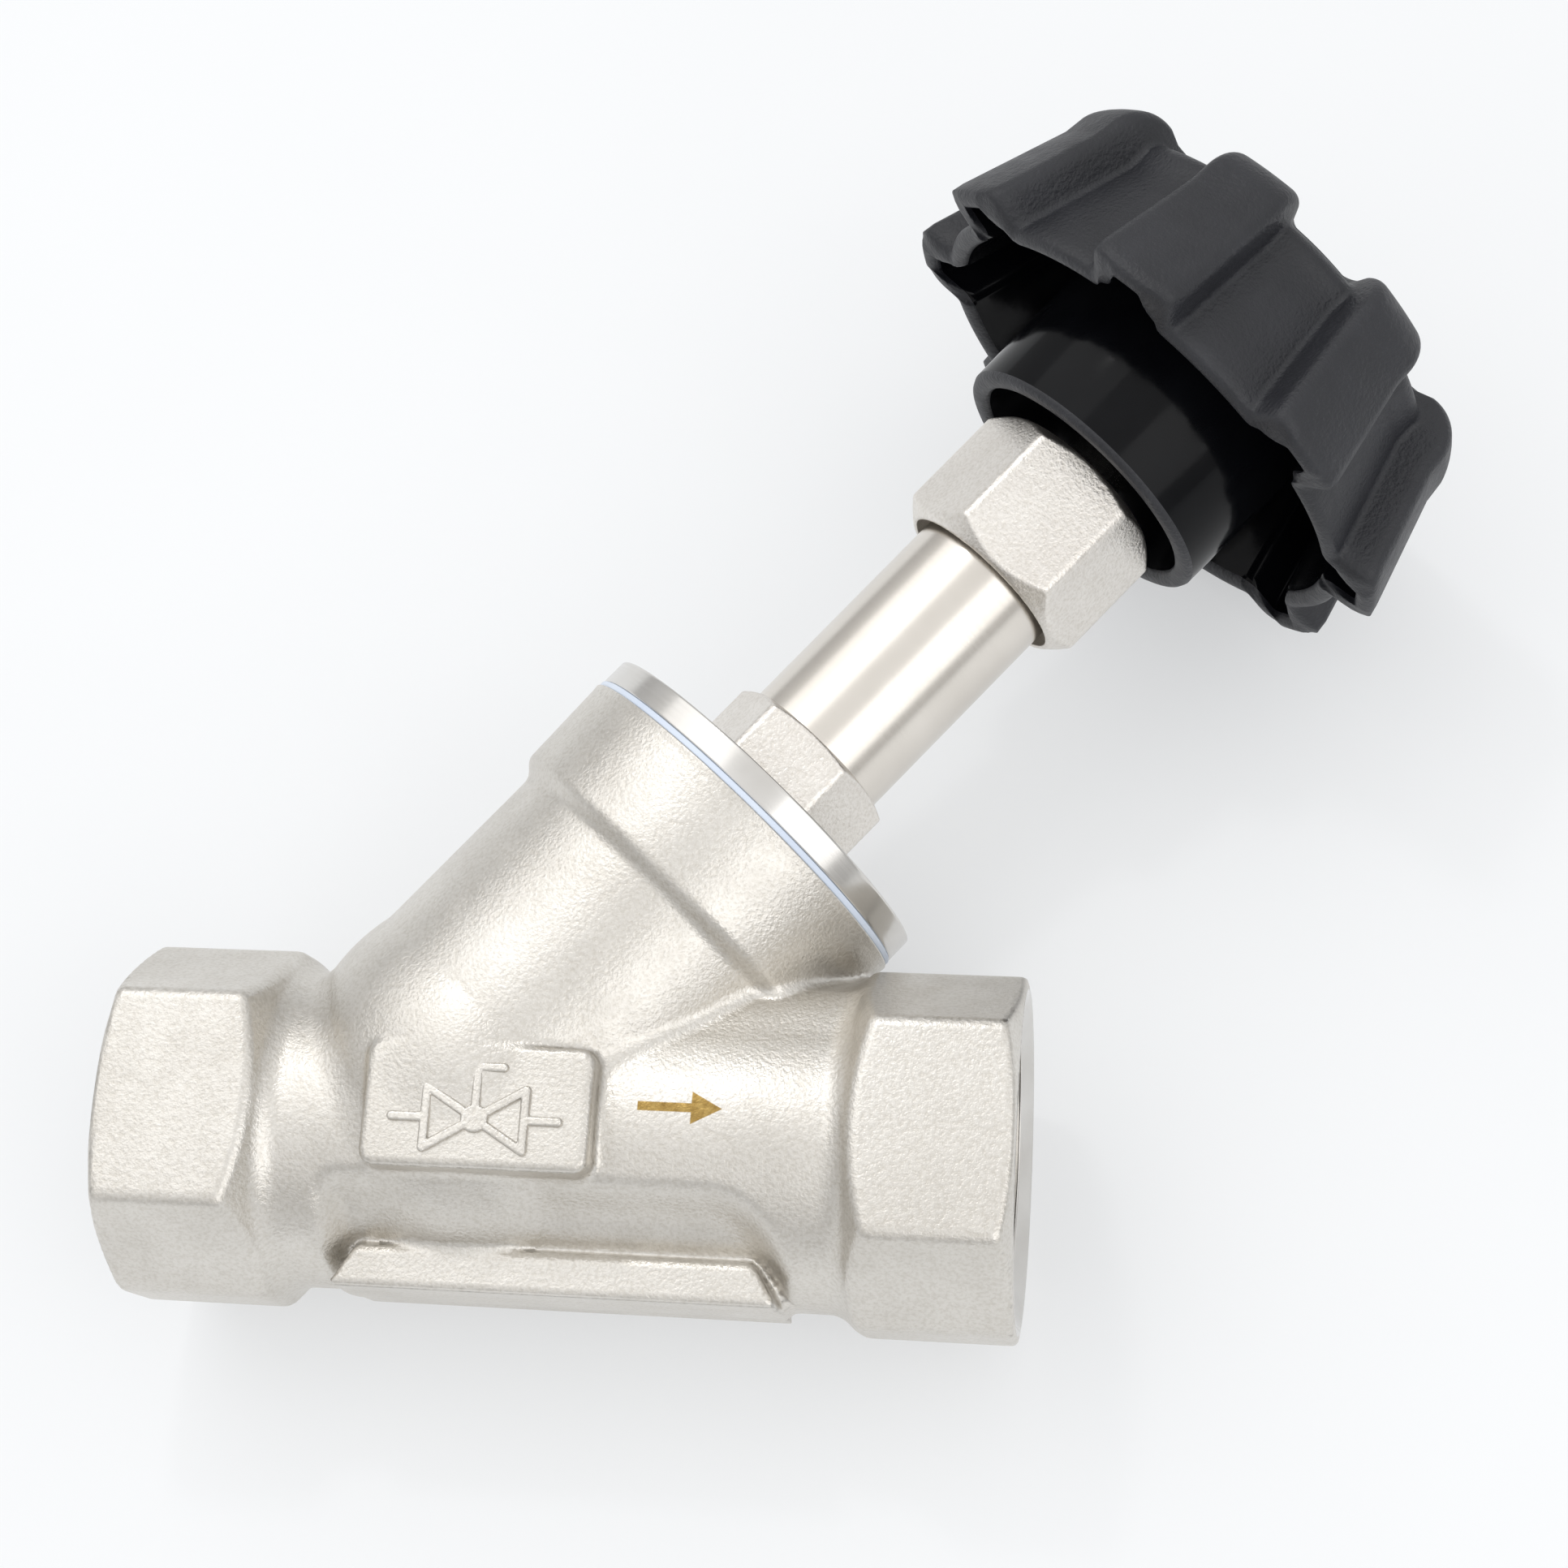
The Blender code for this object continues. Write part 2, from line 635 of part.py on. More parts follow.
def make_plug(lifting, finishes):
    """The plug that rises without turning, with the soft seal that meets the seat."""
    seal_bottom = SEAT_HEIGHT + GAP + TRAVEL
    rim = seal_bottom + 0.8
    groove = rim + 2.8
    bolt = 6.0
    disc = 19.5
    recess = 18.0
    boss = 10.5
    well = FOOT_RADIUS + 0.5
    top = 43.0
    lathe("plug", [
        (0, seal_bottom - 7.6),
        (bolt - 0.4, seal_bottom - 7.6),
        (bolt, seal_bottom - 7.2),
        (bolt, groove),
        (recess, groove),
        (recess, rim),
        (disc - 0.2, rim),
        (disc, rim + 0.3),
        (disc, rim + 8.0),
        (disc - 1.5, rim + 10.5),
        (boss, rim + 12.5),
        (boss, top - 0.6),
        (boss - 0.5, top),
        (well, top),
        (well, STEM_FOOT - GAP),
        (0, STEM_FOOT - GAP),
    ], lifting, finishes["turned"], even_angles(ROUND))
    hole = bolt + GAP
    ring("seat_seal", hole, recess - GAP, seal_bottom, groove - GAP, lifting, finishes["white"])
    clamp = SEAT_RADIUS - 0.6
    clamp_bottom = seal_bottom - 2.8
    lathe("seal_clamp", [
        (hole, clamp_bottom),
        (clamp - 1.2, clamp_bottom),
        (clamp, clamp_bottom + 1.4),
        (clamp, seal_bottom - GAP),
        (hole, seal_bottom - GAP),
    ], lifting, finishes["turned"], even_angles(SMALL_ROUND))
    nut_top = clamp_bottom - GAP
    hex_piece(
        "seal_nut", 17.0, nut_top - 3.9, nut_top, 9.6, (0.4, 0.1),
        column(hole, nut_top - 8, nut_top + 8), lifting, finishes["turned"],
    )
    retainer = STEM_FOOT + FOOT_HEIGHT + GAP
    ring(
        "stem_retainer", STEM_RADIUS + GAP, well - GAP, retainer, retainer + 4.3, lifting,
        finishes["turned"],
    )


def rest_roll():
    """The roll about the flow axis that lays the valve on its hexagons and its wheel rim."""
    angle = math.radians(STEM_ANGLE)
    roll = 0.0
    for _ in range(60):
        down = Vector((0, -math.sin(roll), -math.cos(roll)))
        stem = Vector((math.cos(angle), math.sin(angle), 0))
        across = math.sqrt(1 - down.dot(stem) ** 2)
        wheel = (WHEEL_RIM + 0.8) * down.dot(stem) + (LOBE_RIM_RADIUS - 0.2) * across
        corner = Vector((0, -HEX_FLATS / 2 / math.sqrt(3), -HEX_FLATS / 2))
        roll += (wheel - corner.dot(down)) / (WHEEL_RIM + HEX_FLATS)
    return roll


def lay_on_ground(valve):
    """Moves the valve so that its box stands on Z = 0 with its middle over the origin."""
    bpy.context.view_layer.update()
    graph = bpy.context.evaluated_depsgraph_get()
    low = Vector((1.0, 1.0, 1.0))
    high = -low
    for piece in bpy.context.scene.objects:
        if piece.type == "EMPTY" or piece.hide_render:
            continue
        shape = piece.evaluated_get(graph)
        mesh = shape.to_mesh()
        for vertex in mesh.vertices:
            place = shape.matrix_world @ vertex.co
            low = Vector(map(min, low, place))
            high = Vector(map(max, high, place))
        shape.to_mesh_clear()
    valve.location -= Vector(((low.x + high.x) / 2, (low.y + high.y) / 2, low.z))
    bpy.context.view_layer.update()


def main():
    clear_scene()
    finishes = make_materials()
    valve = empty("valve_frame", matrix=Matrix.Rotation(rest_roll(), 4, "X"))
    angle = math.radians(STEM_ANGLE)
    pipe = empty("pipe_frame", valve, Matrix(((0, 0, 1, 0), (0, -1, 0, 0), (1, 0, 0, 0), (0, 0, 0, 1))))
    stem = empty("stem_frame", valve, Matrix((
        (0, math.sin(angle), math.cos(angle), 0),
        (0, -math.cos(angle), math.sin(angle), 0),
        (1, 0, 0, 0),
        (0, 0, 0, 1),
    )))
    lifting = empty("plug_lift_frame", stem)
    turning = empty("handwheel_turn_frame", lifting)
    make_body(valve, pipe, stem, finishes["cast"])
    make_bonnet(stem, finishes)
    make_packing(stem, finishes)
    make_top_nut(stem, finishes)
    make_plug(lifting, finishes)
    make_stem(turning, finishes)
    make_wheel(turning, finishes["black"])
    make_cap(turning, finishes["black"])
    lay_on_ground(valve)


main()
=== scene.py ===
"""Looks of a Y-pattern globe valve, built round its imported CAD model.

The casting and the hexagons are meshed from distance fields, and the turned and moulded pieces
are lathed. Shapes are in millimetres in two local frames that share one origin, where the stem
axis crosses the pipe axis. The valve frame has X along the flow, Y towards the bonnet in the
plane of symmetry and Z towards the marked side. The stem frame has Z up the stem and X towards
the marked side.
"""

import json
import math

import bmesh
import bpy
import numpy as np
from mathutils import Matrix, Vector


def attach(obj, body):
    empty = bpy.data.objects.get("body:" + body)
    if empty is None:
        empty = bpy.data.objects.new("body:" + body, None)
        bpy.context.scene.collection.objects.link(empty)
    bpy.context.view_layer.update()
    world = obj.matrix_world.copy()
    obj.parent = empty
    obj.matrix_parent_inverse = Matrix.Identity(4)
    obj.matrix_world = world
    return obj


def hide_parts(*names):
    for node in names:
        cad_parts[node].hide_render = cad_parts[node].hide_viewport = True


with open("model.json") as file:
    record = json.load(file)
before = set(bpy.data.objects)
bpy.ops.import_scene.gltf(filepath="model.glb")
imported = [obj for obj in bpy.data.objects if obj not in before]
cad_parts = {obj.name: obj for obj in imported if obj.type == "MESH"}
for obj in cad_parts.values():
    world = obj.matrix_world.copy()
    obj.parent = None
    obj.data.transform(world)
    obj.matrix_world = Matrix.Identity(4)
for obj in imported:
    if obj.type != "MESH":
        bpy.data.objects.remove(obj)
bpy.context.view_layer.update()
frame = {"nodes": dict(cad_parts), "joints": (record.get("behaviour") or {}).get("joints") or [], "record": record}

MM = 0.001
SEGMENTS = 160  # round a large turned piece
SMALL_SEGMENTS = 72

# Sizes of the CAD model that the shapes below share, in millimetres.
INLET_FACE = -40.6
OUTLET_FACE = 80.4
FACE_CENTRE = 22.45  # of a mount, towards the marked side
HEX_HALF_FLATS = 24.0
HEX_SIDE = 23.8
HEX_LENGTH = 21.4
BARREL_RADIUS = 21.4
WAIST_RADIUS = 18.0  # in the pockets beside the keel
POCKET_START = -9.5
POCKET_END = 49.4
POCKET_TOP = -9.5
SPINE_HALF_WIDTH = 6.0  # of full barrel, left standing behind the keel
KEEL_START = -10.3
KEEL_END = 49.9
KEEL_BOTTOM = -22.0
KEEL_HEIGHT = 5.6
KEEL_HALF_WIDTH = 10.6
WEB_HALF_WIDTH = 15.0
GLOBE_RADIUS = 26.4
GLOBE_HEIGHT = 10.5
NECK_RADIUS = 25.7
BOSS_RADIUS = 27.6
BOSS_BOTTOM = 44.6
BOSS_TOP = 59.5
CHAMBER_RADIUS = 22.3
BORE_RADIUS = 16.0
LEAD_IN_RADIUS = 22.7
LEAD_IN_SLOPE = 1.55
THREAD_ROOT = 20.95
THREAD_CREST = 19.48
THREAD_PITCH = 2.309
SOCKET_DEPTH = 17.0
SEAT_HEIGHT = 4.0
SEAT_BOTTOM = -1.0
SEAT_RADIUS = 14.4
PAD_CENTRE = 11.5
PAD_HALF_LENGTH = 15.0
PAD_HALF_HEIGHT = 8.0
PAD_FACE = 25.3
SYMBOL_CENTRE = (11.5, -1.7)
GASKET_RADIUS = 27.9
GASKET_TOP = 60.4
FLANGE_RADIUS = 27.8
FLANGE_TOP = 64.3
BONNET_TOP = 74.6
TUBE_RADIUS = 11.2
NUT_BOTTOM = 108.2
NUT_TOP = 128.2
WHEEL_RIM = 140.7
WHEEL_TOP = 169.5
WHEEL_SHOULDER = 162.5
RIM_RADIUS = 43.4
SHOULDER_RADIUS = 37.4
LOBES = 8
LOBE_TURN = -2.0  # degrees
LOBE_RISE = 6.0  # of a lobe above the valleys
RIM_ROUND = 1.6
RIM_CORNER = 2.8  # where the rim meets the flanks of a lobe
SKIRT_WALL = 3.2
SLEEVE_BOTTOM = 128.6
SLEEVE_RADIUS = 21.1
SLEEVE_BORE = 18.0
CAP_RADIUS = 14.0

# The two local frames, from the record's joint and mounts.
record = frame["record"]
mounts = {mount["name"]: mount for mount in record["mounts"]}
joints = {joint["name"]: joint for joint in frame["joints"]}
FLOW = Vector(mounts["outlet_face"]["axis"]).normalized()
STEM = Vector(joints["plug_lift"]["axis"]).normalized()
SIDE = FLOW.cross(STEM).normalized()
UP = SIDE.cross(FLOW)
STEM_ANGLE = FLOW.angle(STEM)
COS, SIN = math.cos(STEM_ANGLE), math.sin(STEM_ANGLE)
ORIGIN = Vector(mounts["inlet_face"]["pos_m"]) - (FLOW * INLET_FACE + SIDE * FACE_CENTRE) * MM


def frame_matrix(x, y, z, origin):
    matrix = Matrix((x, y, z)).transposed().to_4x4()
    matrix.translation = origin
    return matrix


VALVE_FRAME = frame_matrix(FLOW, UP, SIDE, ORIGIN)
STEM_FRAME = frame_matrix(SIDE, FLOW * SIN - UP * COS, STEM, ORIGIN)


# Distance fields. Each takes and gives arrays of millimetres, negative inside the shape.

def join(a, b, radius):
    """Union of two fields with a fillet of this radius."""
    return np.maximum(radius, np.minimum(a, b)) - np.hypot(
        np.maximum(radius - a, 0), np.maximum(radius - b, 0)
    )


def meet(a, b, radius):
    """Intersection of two fields with a rounded edge of this radius."""
    return np.minimum(-radius, np.maximum(a, b)) + np.hypot(
        np.maximum(radius + a, 0), np.maximum(radius + b, 0)
    )


def cut(a, b, radius):
    return meet(a, -b, radius)


def hexagon(x, y, half_flats, radius, turn=0.0):
    """An endless hexagonal bar with flats towards X turned by turn radians."""
    found = None
    for i in range(3):
        angle = turn + i * math.pi / 3
        flat = np.abs(x * math.cos(angle) + y * math.sin(angle)) - half_flats
        found = flat if found is None else meet(found, flat, radius)
    return found


def cone(radial, height, radius, at, per_mm):
    """Outside of a cone about the axis: its radius at a height, and how it grows per millimetre."""
    return (radial - radius - (height - at) * per_mm) / math.hypot(1, per_mm)


def end_hexagon(inward, v, w, radial):
    """A hexagon end, as far inward from its face as given."""
    bar = meet(hexagon(w, v, HEX_HALF_FLATS, 0.9), np.abs(v) - HEX_SIDE, 0.9)
    bar = meet(bar, cone(radial, inward, 23.3, 0.0, 2.7), 0.7)
    bar = meet(bar, cone(radial, inward, 28.2, HEX_LENGTH - 2.7, -1.7), 1.0)
    return meet(bar, -inward, 0.5)


def socket(inward, radial):
    """The space of a threaded socket: its root radius, lead-in chamfer and conical floor."""
    hole = np.maximum(radial - THREAD_ROOT - 0.05, inward - SOCKET_DEPTH)
    lead_in = cone(radial, inward, LEAD_IN_RADIUS, 0.0, -LEAD_IN_SLOPE)
    lead_in = np.maximum(lead_in, inward - 3)
    floor = np.maximum(cone(radial, inward, 19.9, SOCKET_DEPTH, -2.2), inward - 20)
    return np.minimum(np.minimum(hole, lead_in), np.maximum(floor, SOCKET_DEPTH - 1 - inward))


def barrel(u, v, side, radial):
    """The pipe between the hexagons, with a sunken pocket on both sides of the keel."""
    top = v - POCKET_TOP
    pocket = np.maximum(meet(POCKET_START - u, top, 2.0), meet(u - POCKET_END, top, 9.0))
    pocket = np.maximum(pocket, SPINE_HALF_WIDTH - side)
    shell = meet(radial - BARREL_RADIUS, join(-pocket, radial - WAIST_RADIUS, 3.4), 2.6)
    return np.maximum(shell, np.maximum(INLET_FACE + 12 - u, u - OUTLET_FACE + 12))


def neck(height, radial):
    """The inclined neck with the globe at its foot and the boss at its top."""
    globe = np.hypot(radial, height - GLOBE_HEIGHT) - GLOBE_RADIUS
    stalk = np.maximum(radial - NECK_RADIUS, np.maximum(8.0 - height, height - 50.0))
    boss = meet(cone(radial, height, BOSS_RADIUS, BOSS_BOTTOM, 0.03), height - BOSS_TOP + 0.5, 0.4)
    boss = meet(boss, BOSS_BOTTOM - height, 1.6)
    return join(np.minimum(globe, stalk), boss, 1.8)


def web(u, v, side):
    """The rib that fills the angle between the neck and the outlet, and ends in its hexagon."""
    rib = meet(hexagon(side, v, HEX_HALF_FLATS - 1.2, 3.0), v - HEX_SIDE + 0.9, 4.0)
    rib = meet(rib, side - WEB_HALF_WIDTH, 3.0)
    return np.maximum(rib, np.maximum(20.0 - u, np.maximum(u - 68.0, -v)))


def keel(u, v, side):
    """The bar along the bottom of the pipe, with slanted ends."""
    above = v - KEEL_BOTTOM
    past_end = np.maximum(u - KEEL_END, KEEL_START - u)
    ends = 0.85 * past_end + 0.527 * above
    bar = meet(meet(-above, ends, 0.8), side - KEEL_HALF_WIDTH, 0.8)
    return meet(bar, above - KEEL_HEIGHT, 0.9)


def pad(u, v, w):
    plan = meet(np.abs(u - PAD_CENTRE) - PAD_HALF_LENGTH, np.abs(v) - PAD_HALF_HEIGHT, 2.0)
    return np.maximum(meet(plan, w - PAD_FACE, 0.9), 8.0 - w)


def passages(u, around_pipe, height, around_stem):
    chamber = np.maximum(around_stem - CHAMBER_RADIUS, SEAT_HEIGHT - height)
    seat = np.maximum(around_stem - SEAT_RADIUS, np.abs(height - 1.5) - 6.0)
    pipe = around_pipe - BORE_RADIUS
    inlet = np.maximum(np.maximum(pipe, height - SEAT_BOTTOM), INLET_FACE + 8 - u)
    outlet = np.maximum(np.maximum(pipe, SEAT_HEIGHT + 0.5 - height), u - OUTLET_FACE + 8)
    space = join(np.minimum(chamber, seat), np.minimum(inlet, outlet), 0.3)
    for inward in (u - INLET_FACE, OUTLET_FACE - u):
        space = np.minimum(space, socket(inward, around_pipe))
    return space


def casting(u, v, w):
    height, across = u * COS + v * SIN, u * SIN - v * COS
    around_stem, around_pipe, side = np.hypot(across, w), np.hypot(v, w), np.abs(w)
    solid = join(barrel(u, v, side, around_pipe), neck(height, around_stem), 1.6)
    solid = join(solid, web(u, v, side), 2.8)
    solid = join(solid, keel(u, v, side), 1.5)
    solid = join(solid, pad(u, v, w), 1.0)
    for inward in (u - INLET_FACE, OUTLET_FACE - u):
        solid = join(solid, end_hexagon(inward, v, w, around_pipe), 2.0)
    return cut(solid, passages(u, around_pipe, height, around_stem), 0.4)


def stroke(x, y, start, end):
    """Distance to a straight stroke in the plane."""
    dx, dy = end[0] - start[0], end[1] - start[1]
    along = ((x - start[0]) * dx + (y - start[1]) * dy) / (dx * dx + dy * dy)
    along = np.clip(along, 0, 1)
    return np.hypot(x - start[0] - along * dx, y - start[1] - along * dy)


SYMBOL = [  # the generic drawing symbol of a globe valve, with its pipe on both sides
    ((5.0, -5.6), (5.0, 2.2)),
    ((5.0, 2.2), (18.0, -5.6)),
    ((18.0, -5.6), (18.0, 2.2)),
    ((18.0, 2.2), (5.0, -5.6)),
    ((11.5, -1.7), (11.5, 5.0)),
    ((8.2, 5.0), (14.8, 5.0)),
    ((0.6, -1.7), (5.0, -1.7)),
    ((18.0, -1.7), (22.4, -1.7)),
]


def symbol(u, v, w):
    lines = np.hypot(u - SYMBOL_CENTRE[0], v - SYMBOL_CENTRE[1]) - 1.2
    for start, end in SYMBOL:
        lines = np.minimum(lines, stroke(u, v, start, end))
    return np.maximum(meet(lines - 0.62, w - PAD_FACE - 0.6, 0.35), PAD_FACE - 0.5 - w)


def bonnet_hexagon(x, y, z):
    radial = np.hypot(x, y)
    bar = hexagon(x, y, 11.8, 0.5, math.radians(8.0))
    bar = meet(bar, cone(radial, z, 13.5, BONNET_TOP - 0.9, -2.4), 0.3)
    bar = meet(meet(bar, z - BONNET_TOP, 0.3), radial - 13.5, 0.3)
    return np.maximum(np.maximum(bar, FLANGE_TOP - 0.6 - z), 10.4 - radial)


def top_nut(x, y, z):
    radial = np.hypot(x, y)
    bar = meet(hexagon(x, y, 13.75, 0.45, math.radians(15.5)), radial - 15.7, 0.3)
    bar = meet(bar, cone(radial, z, 13.0, NUT_BOTTOM, 1.05), 0.3)
    bar = meet(bar, cone(radial, z, 13.4, NUT_TOP, -1.3), 0.3)
    bar = meet(bar, np.abs(z - (NUT_BOTTOM + NUT_TOP) / 2) - (NUT_TOP - NUT_BOTTOM) / 2, 0.3)
    low_bore = np.maximum(radial - 12.5, z - NUT_BOTTOM - 3.0)
    bore = np.maximum(radial - 11.5, z - 122.1)
    high_bore = np.minimum(radial - 6.0, np.maximum(radial - 8.4, 125.4 - z))
    return cut(bar, np.minimum(np.minimum(low_bore, bore), high_bore), 0.25)


# Meshes from distance fields.

BLOCK = 8  # grid cells along a block that is either sampled or known to be clear of the surface
CORNERS = np.array([(i, j, k) for i in (0, 1) for j in (0, 1) for k in (0, 1)])
EDGES = [
    (a, b) for a in range(8) for b in range(a + 1, 8)
    if np.abs(CORNERS[a] - CORNERS[b]).sum() == 1
]


def sample(field, low, counts, step):
    """The field on a grid, worked out only in the blocks that the surface may cross."""
    grid = [np.arange(0, count - 1, BLOCK) for count in counts]
    starts = np.stack(np.meshgrid(*grid, indexing="ij"), -1).reshape(-1, 3)
    centres = low + (starts + BLOCK / 2) * step
    distance = field(*centres.T)
    near = np.abs(distance) < BLOCK * step * 1.15
    values = np.ones(counts)
    for start, inside in zip(starts[~near], distance[~near] < 0):
        if inside:
            values[tuple(slice(s, s + BLOCK + 1) for s in start)] = -1
    local = np.stack(np.meshgrid(*[np.arange(BLOCK + 1)] * 3, indexing="ij"), -1).reshape(-1, 3)
    index = np.minimum(starts[near][:, None, :] + local, np.array(counts) - 1).reshape(-1, 3)
    index = np.unique(index, axis=0)
    values[tuple(index.T)] = field(*(low + index * step).T)
    return values


def slope(field, points, reach=0.02):
    """The direction in which the field grows at each point."""
    found = np.empty_like(points)
    for axis in range(3):
        offset = np.zeros(3)
        offset[axis] = reach
        found[:, axis] = field(*(points + offset).T) - field(*(points - offset).T)
    found /= 2 * reach
    return found


def surface_net(field, low, high, step):
    """Points, quads and normals of the field's zero level, by surface nets."""
    low = np.array(low, float)
    counts = [int(math.ceil((b - a) / step)) + 1 for a, b in zip(low, high)]
    values = sample(field, low, counts, step)
    inside = values < 0
    cells = [count - 1 for count in counts]
    filled = sum(
        inside[i:i + cells[0], j:j + cells[1], k:k + cells[2]].astype(np.int8)
        for i, j, k in CORNERS
    )
    crossed = (filled > 0) & (filled < 8)
    where = np.argwhere(crossed)
    number = np.full(cells, -1)
    number[crossed] = np.arange(len(where))
    corner_values = np.stack([values[tuple((where + corner).T)] for corner in CORNERS], 1)
    total = np.zeros((len(where), 3))
    hits = np.zeros(len(where))
    for a, b in EDGES:
        first, second = corner_values[:, a], corner_values[:, b]
        cross = (first < 0) != (second < 0)
        share = first[cross] / (first[cross] - second[cross])
        total[cross] += CORNERS[a] + share[:, None] * (CORNERS[b] - CORNERS[a])
        hits += cross
    points = low + (where + total / hits[:, None]) * step
    quads = []
    for axis in range(3):
        b, c = (axis + 1) % 3, (axis + 2) % 3
        start = np.take(inside, range(cells[axis]), axis)
        end = np.take(inside, range(1, cells[axis] + 1), axis)
        edges = np.argwhere(start != end)
        keep = (edges[:, b] > 0) & (edges[:, c] > 0)
        keep &= (edges[:, b] < cells[b]) & (edges[:, c] < cells[c])
        edges = edges[keep]
        ring = []
        for step_b, step_c in ((0, 0), (-1, 0), (-1, -1), (0, -1)):
            cell = edges.copy()
            cell[:, b] += step_b
            cell[:, c] += step_c
            ring.append(number[tuple(cell.T)])
        quad = np.stack(ring, 1)
        inward = end[tuple(edges.T)]
        quad[inward] = quad[inward][:, ::-1]
        quads.append(quad)
    for _ in range(3):
        direction = slope(field, points)
        length = (direction ** 2).sum(1) + 1e-9
        move = np.clip(field(*points.T) / length, -step, step)
        points -= direction * move[:, None]
    normals = slope(field, points)
    normals /= np.linalg.norm(normals, axis=1)[:, None] + 1e-9
    return points, np.concatenate(quads), normals


def mesh_from(name, points, faces, matrix=Matrix.Identity(4), normals=None):
    """A mesh in the row frame, in metres, from points in millimetres in a local frame."""
    mesh = bpy.data.meshes.new(name)
    turn = np.array(matrix.to_3x3())
    points = np.asarray(points) @ turn.T * MM + np.array(matrix.translation)
    faces = np.asarray(faces)
    corners = faces.shape[1]
    mesh.vertices.add(len(points))
    mesh.vertices.foreach_set("co", points.astype(np.float32).ravel())
    mesh.loops.add(faces.size)
    mesh.loops.foreach_set("vertex_index", faces.astype(np.int32).ravel())
    mesh.polygons.add(len(faces))
    mesh.polygons.foreach_set("loop_start", np.arange(0, faces.size, corners, dtype=np.int32))
    mesh.update(calc_edges=True)
    mesh.validate()
    mesh.shade_smooth()
    if normals is not None:
        mesh.normals_split_custom_set_from_vertices((normals @ turn.T).astype(np.float32))
    return mesh


def add_piece(name, mesh, body, materials, nodes=()):
    piece = bpy.data.objects.new(name, mesh)
    bpy.context.scene.collection.objects.link(piece)
    for made in materials:
        mesh.materials.append(made)
    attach(piece, body)
    if nodes:
        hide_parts(*nodes)
    return piece


def field_piece(name, field, low, high, step, matrix, body, made, nodes=()):
    points, quads, normals = surface_net(field, low, high, step)
    mesh = mesh_from(name, points, quads, matrix, normals)
    return add_piece(name, mesh, body, [made], nodes)


# Lathed pieces.

def softened(profile, radius, steps=4):
    """A closed outline of (radius, height) with each corner off the axis turned into an arc.

    A point on each side of the arc keeps the shading of the faces beside it flat.
    """
    found = []
    count = len(profile)
    for i, corner in enumerate(profile):
        here = Vector(corner)
        before, after = Vector(profile[i - 1]) - here, Vector(profile[(i + 1) % count]) - here
        if here.x < 1e-6:
            found.append(tuple(here))
            continue
        half = before.angle(after) / 2
        reach = min(radius / math.tan(half), before.length * 0.45, after.length * 0.45)
        hold = [
            min(reach * 1.5, edge.length * 0.49) * edge.normalized() for edge in (before, after)
        ]
        start, end = here + before.normalized() * reach, here + after.normalized() * reach
        found.append(tuple(here + hold[0]))
        for step in range(steps + 1):
            t = step / steps
            point = start * (1 - t) ** 2 + here * 2 * t * (1 - t) + end * t ** 2
            found.append(tuple(point))
        found.append(tuple(here + hold[1]))
    return found


def turned(profile, segments):
    """Points and quads of a closed outline turned about the local Z axis.

    An outline that starts and ends on the axis gets no faces along it.
    """
    angles = np.arange(segments) * 2 * math.pi / segments
    outline = np.array(profile)
    points = np.stack([
        outline[:, None, 0] * np.cos(angles),
        outline[:, None, 0] * np.sin(angles),
        np.repeat(outline[:, None, 1], segments, 1),
    ], -1).reshape(-1, 3)
    faces = ring_faces(len(profile), segments)
    if outline[0, 0] < 1e-6 and outline[-1, 0] < 1e-6:
        faces = faces[:-segments]
    return points, faces


def ring_faces(rings, segments):
    """Quads between neighbouring rings of points, and from the last ring to the first."""
    ring, turn = np.meshgrid(np.arange(rings), np.arange(segments), indexing="ij")
    below, beside = (ring + 1) % rings, (turn + 1) % segments
    return np.stack([
        ring * segments + turn,
        ring * segments + beside,
        below * segments + beside,
        below * segments + turn,
    ], -1).reshape(-1, 4)


def join_on_axis(mesh):
    """Makes one point of all those that coincide, which they do on a lathe's axis."""
    work = bmesh.new()
    work.from_mesh(mesh)
    bmesh.ops.remove_doubles(work, verts=work.verts, dist=1e-7)
    work.to_mesh(mesh)
    work.free()


def lathe_piece(name, profile, radius, segments, body, made, nodes=()):
    points, faces = turned(softened(profile, radius), segments)
    mesh = mesh_from(name, points, faces, STEM_FRAME)
    join_on_axis(mesh)
    mesh.set_sharp_from_angle(angle=math.radians(40))
    return add_piece(name, mesh, body, [made], nodes)


def thread_piece(name, face, inward, made):
    """The internal pipe thread of one socket, as a sleeve set into the casting's bore."""
    per_pitch = 12
    segments = 144
    proud = 0.08  # of the sleeve above the casting's lead-in
    start, end = 0.12, SOCKET_DEPTH - 0.2
    count = int((end - start) / THREAD_PITCH * per_pitch)
    depth = np.linspace(start, end, count)[:, None]
    angles = np.arange(segments) * 2 * math.pi / segments
    wave = np.cos(2 * math.pi * depth / THREAD_PITCH - inward * angles)
    middle, swing = (THREAD_ROOT + THREAD_CREST) / 2, (THREAD_ROOT - THREAD_CREST) / 2
    run_out = np.clip((end - depth) / THREAD_PITCH, 0, 1)
    lead_in = LEAD_IN_RADIUS - proud - LEAD_IN_SLOPE * depth
    radius = np.maximum(middle + swing * wave * run_out, lead_in)
    first, last = (np.full((1, segments), back) for back in (22.9, THREAD_ROOT + 0.7))
    radius = np.concatenate([first, radius, last])
    depth = np.concatenate([[[start]], depth, [[end]]]) + np.zeros((1, segments))
    along = face + inward * depth
    points = np.stack([along, radius * np.cos(angles), radius * np.sin(angles)], -1).reshape(-1, 3)
    faces = ring_faces(count + 2, segments)
    if inward > 0:
        faces = faces[:, ::-1]
    mesh = mesh_from(name, points, faces, VALVE_FRAME)
    return add_piece(name, mesh, "valve", [made])


# The handwheel is lathed too, with its radius and height swung between the lobes.

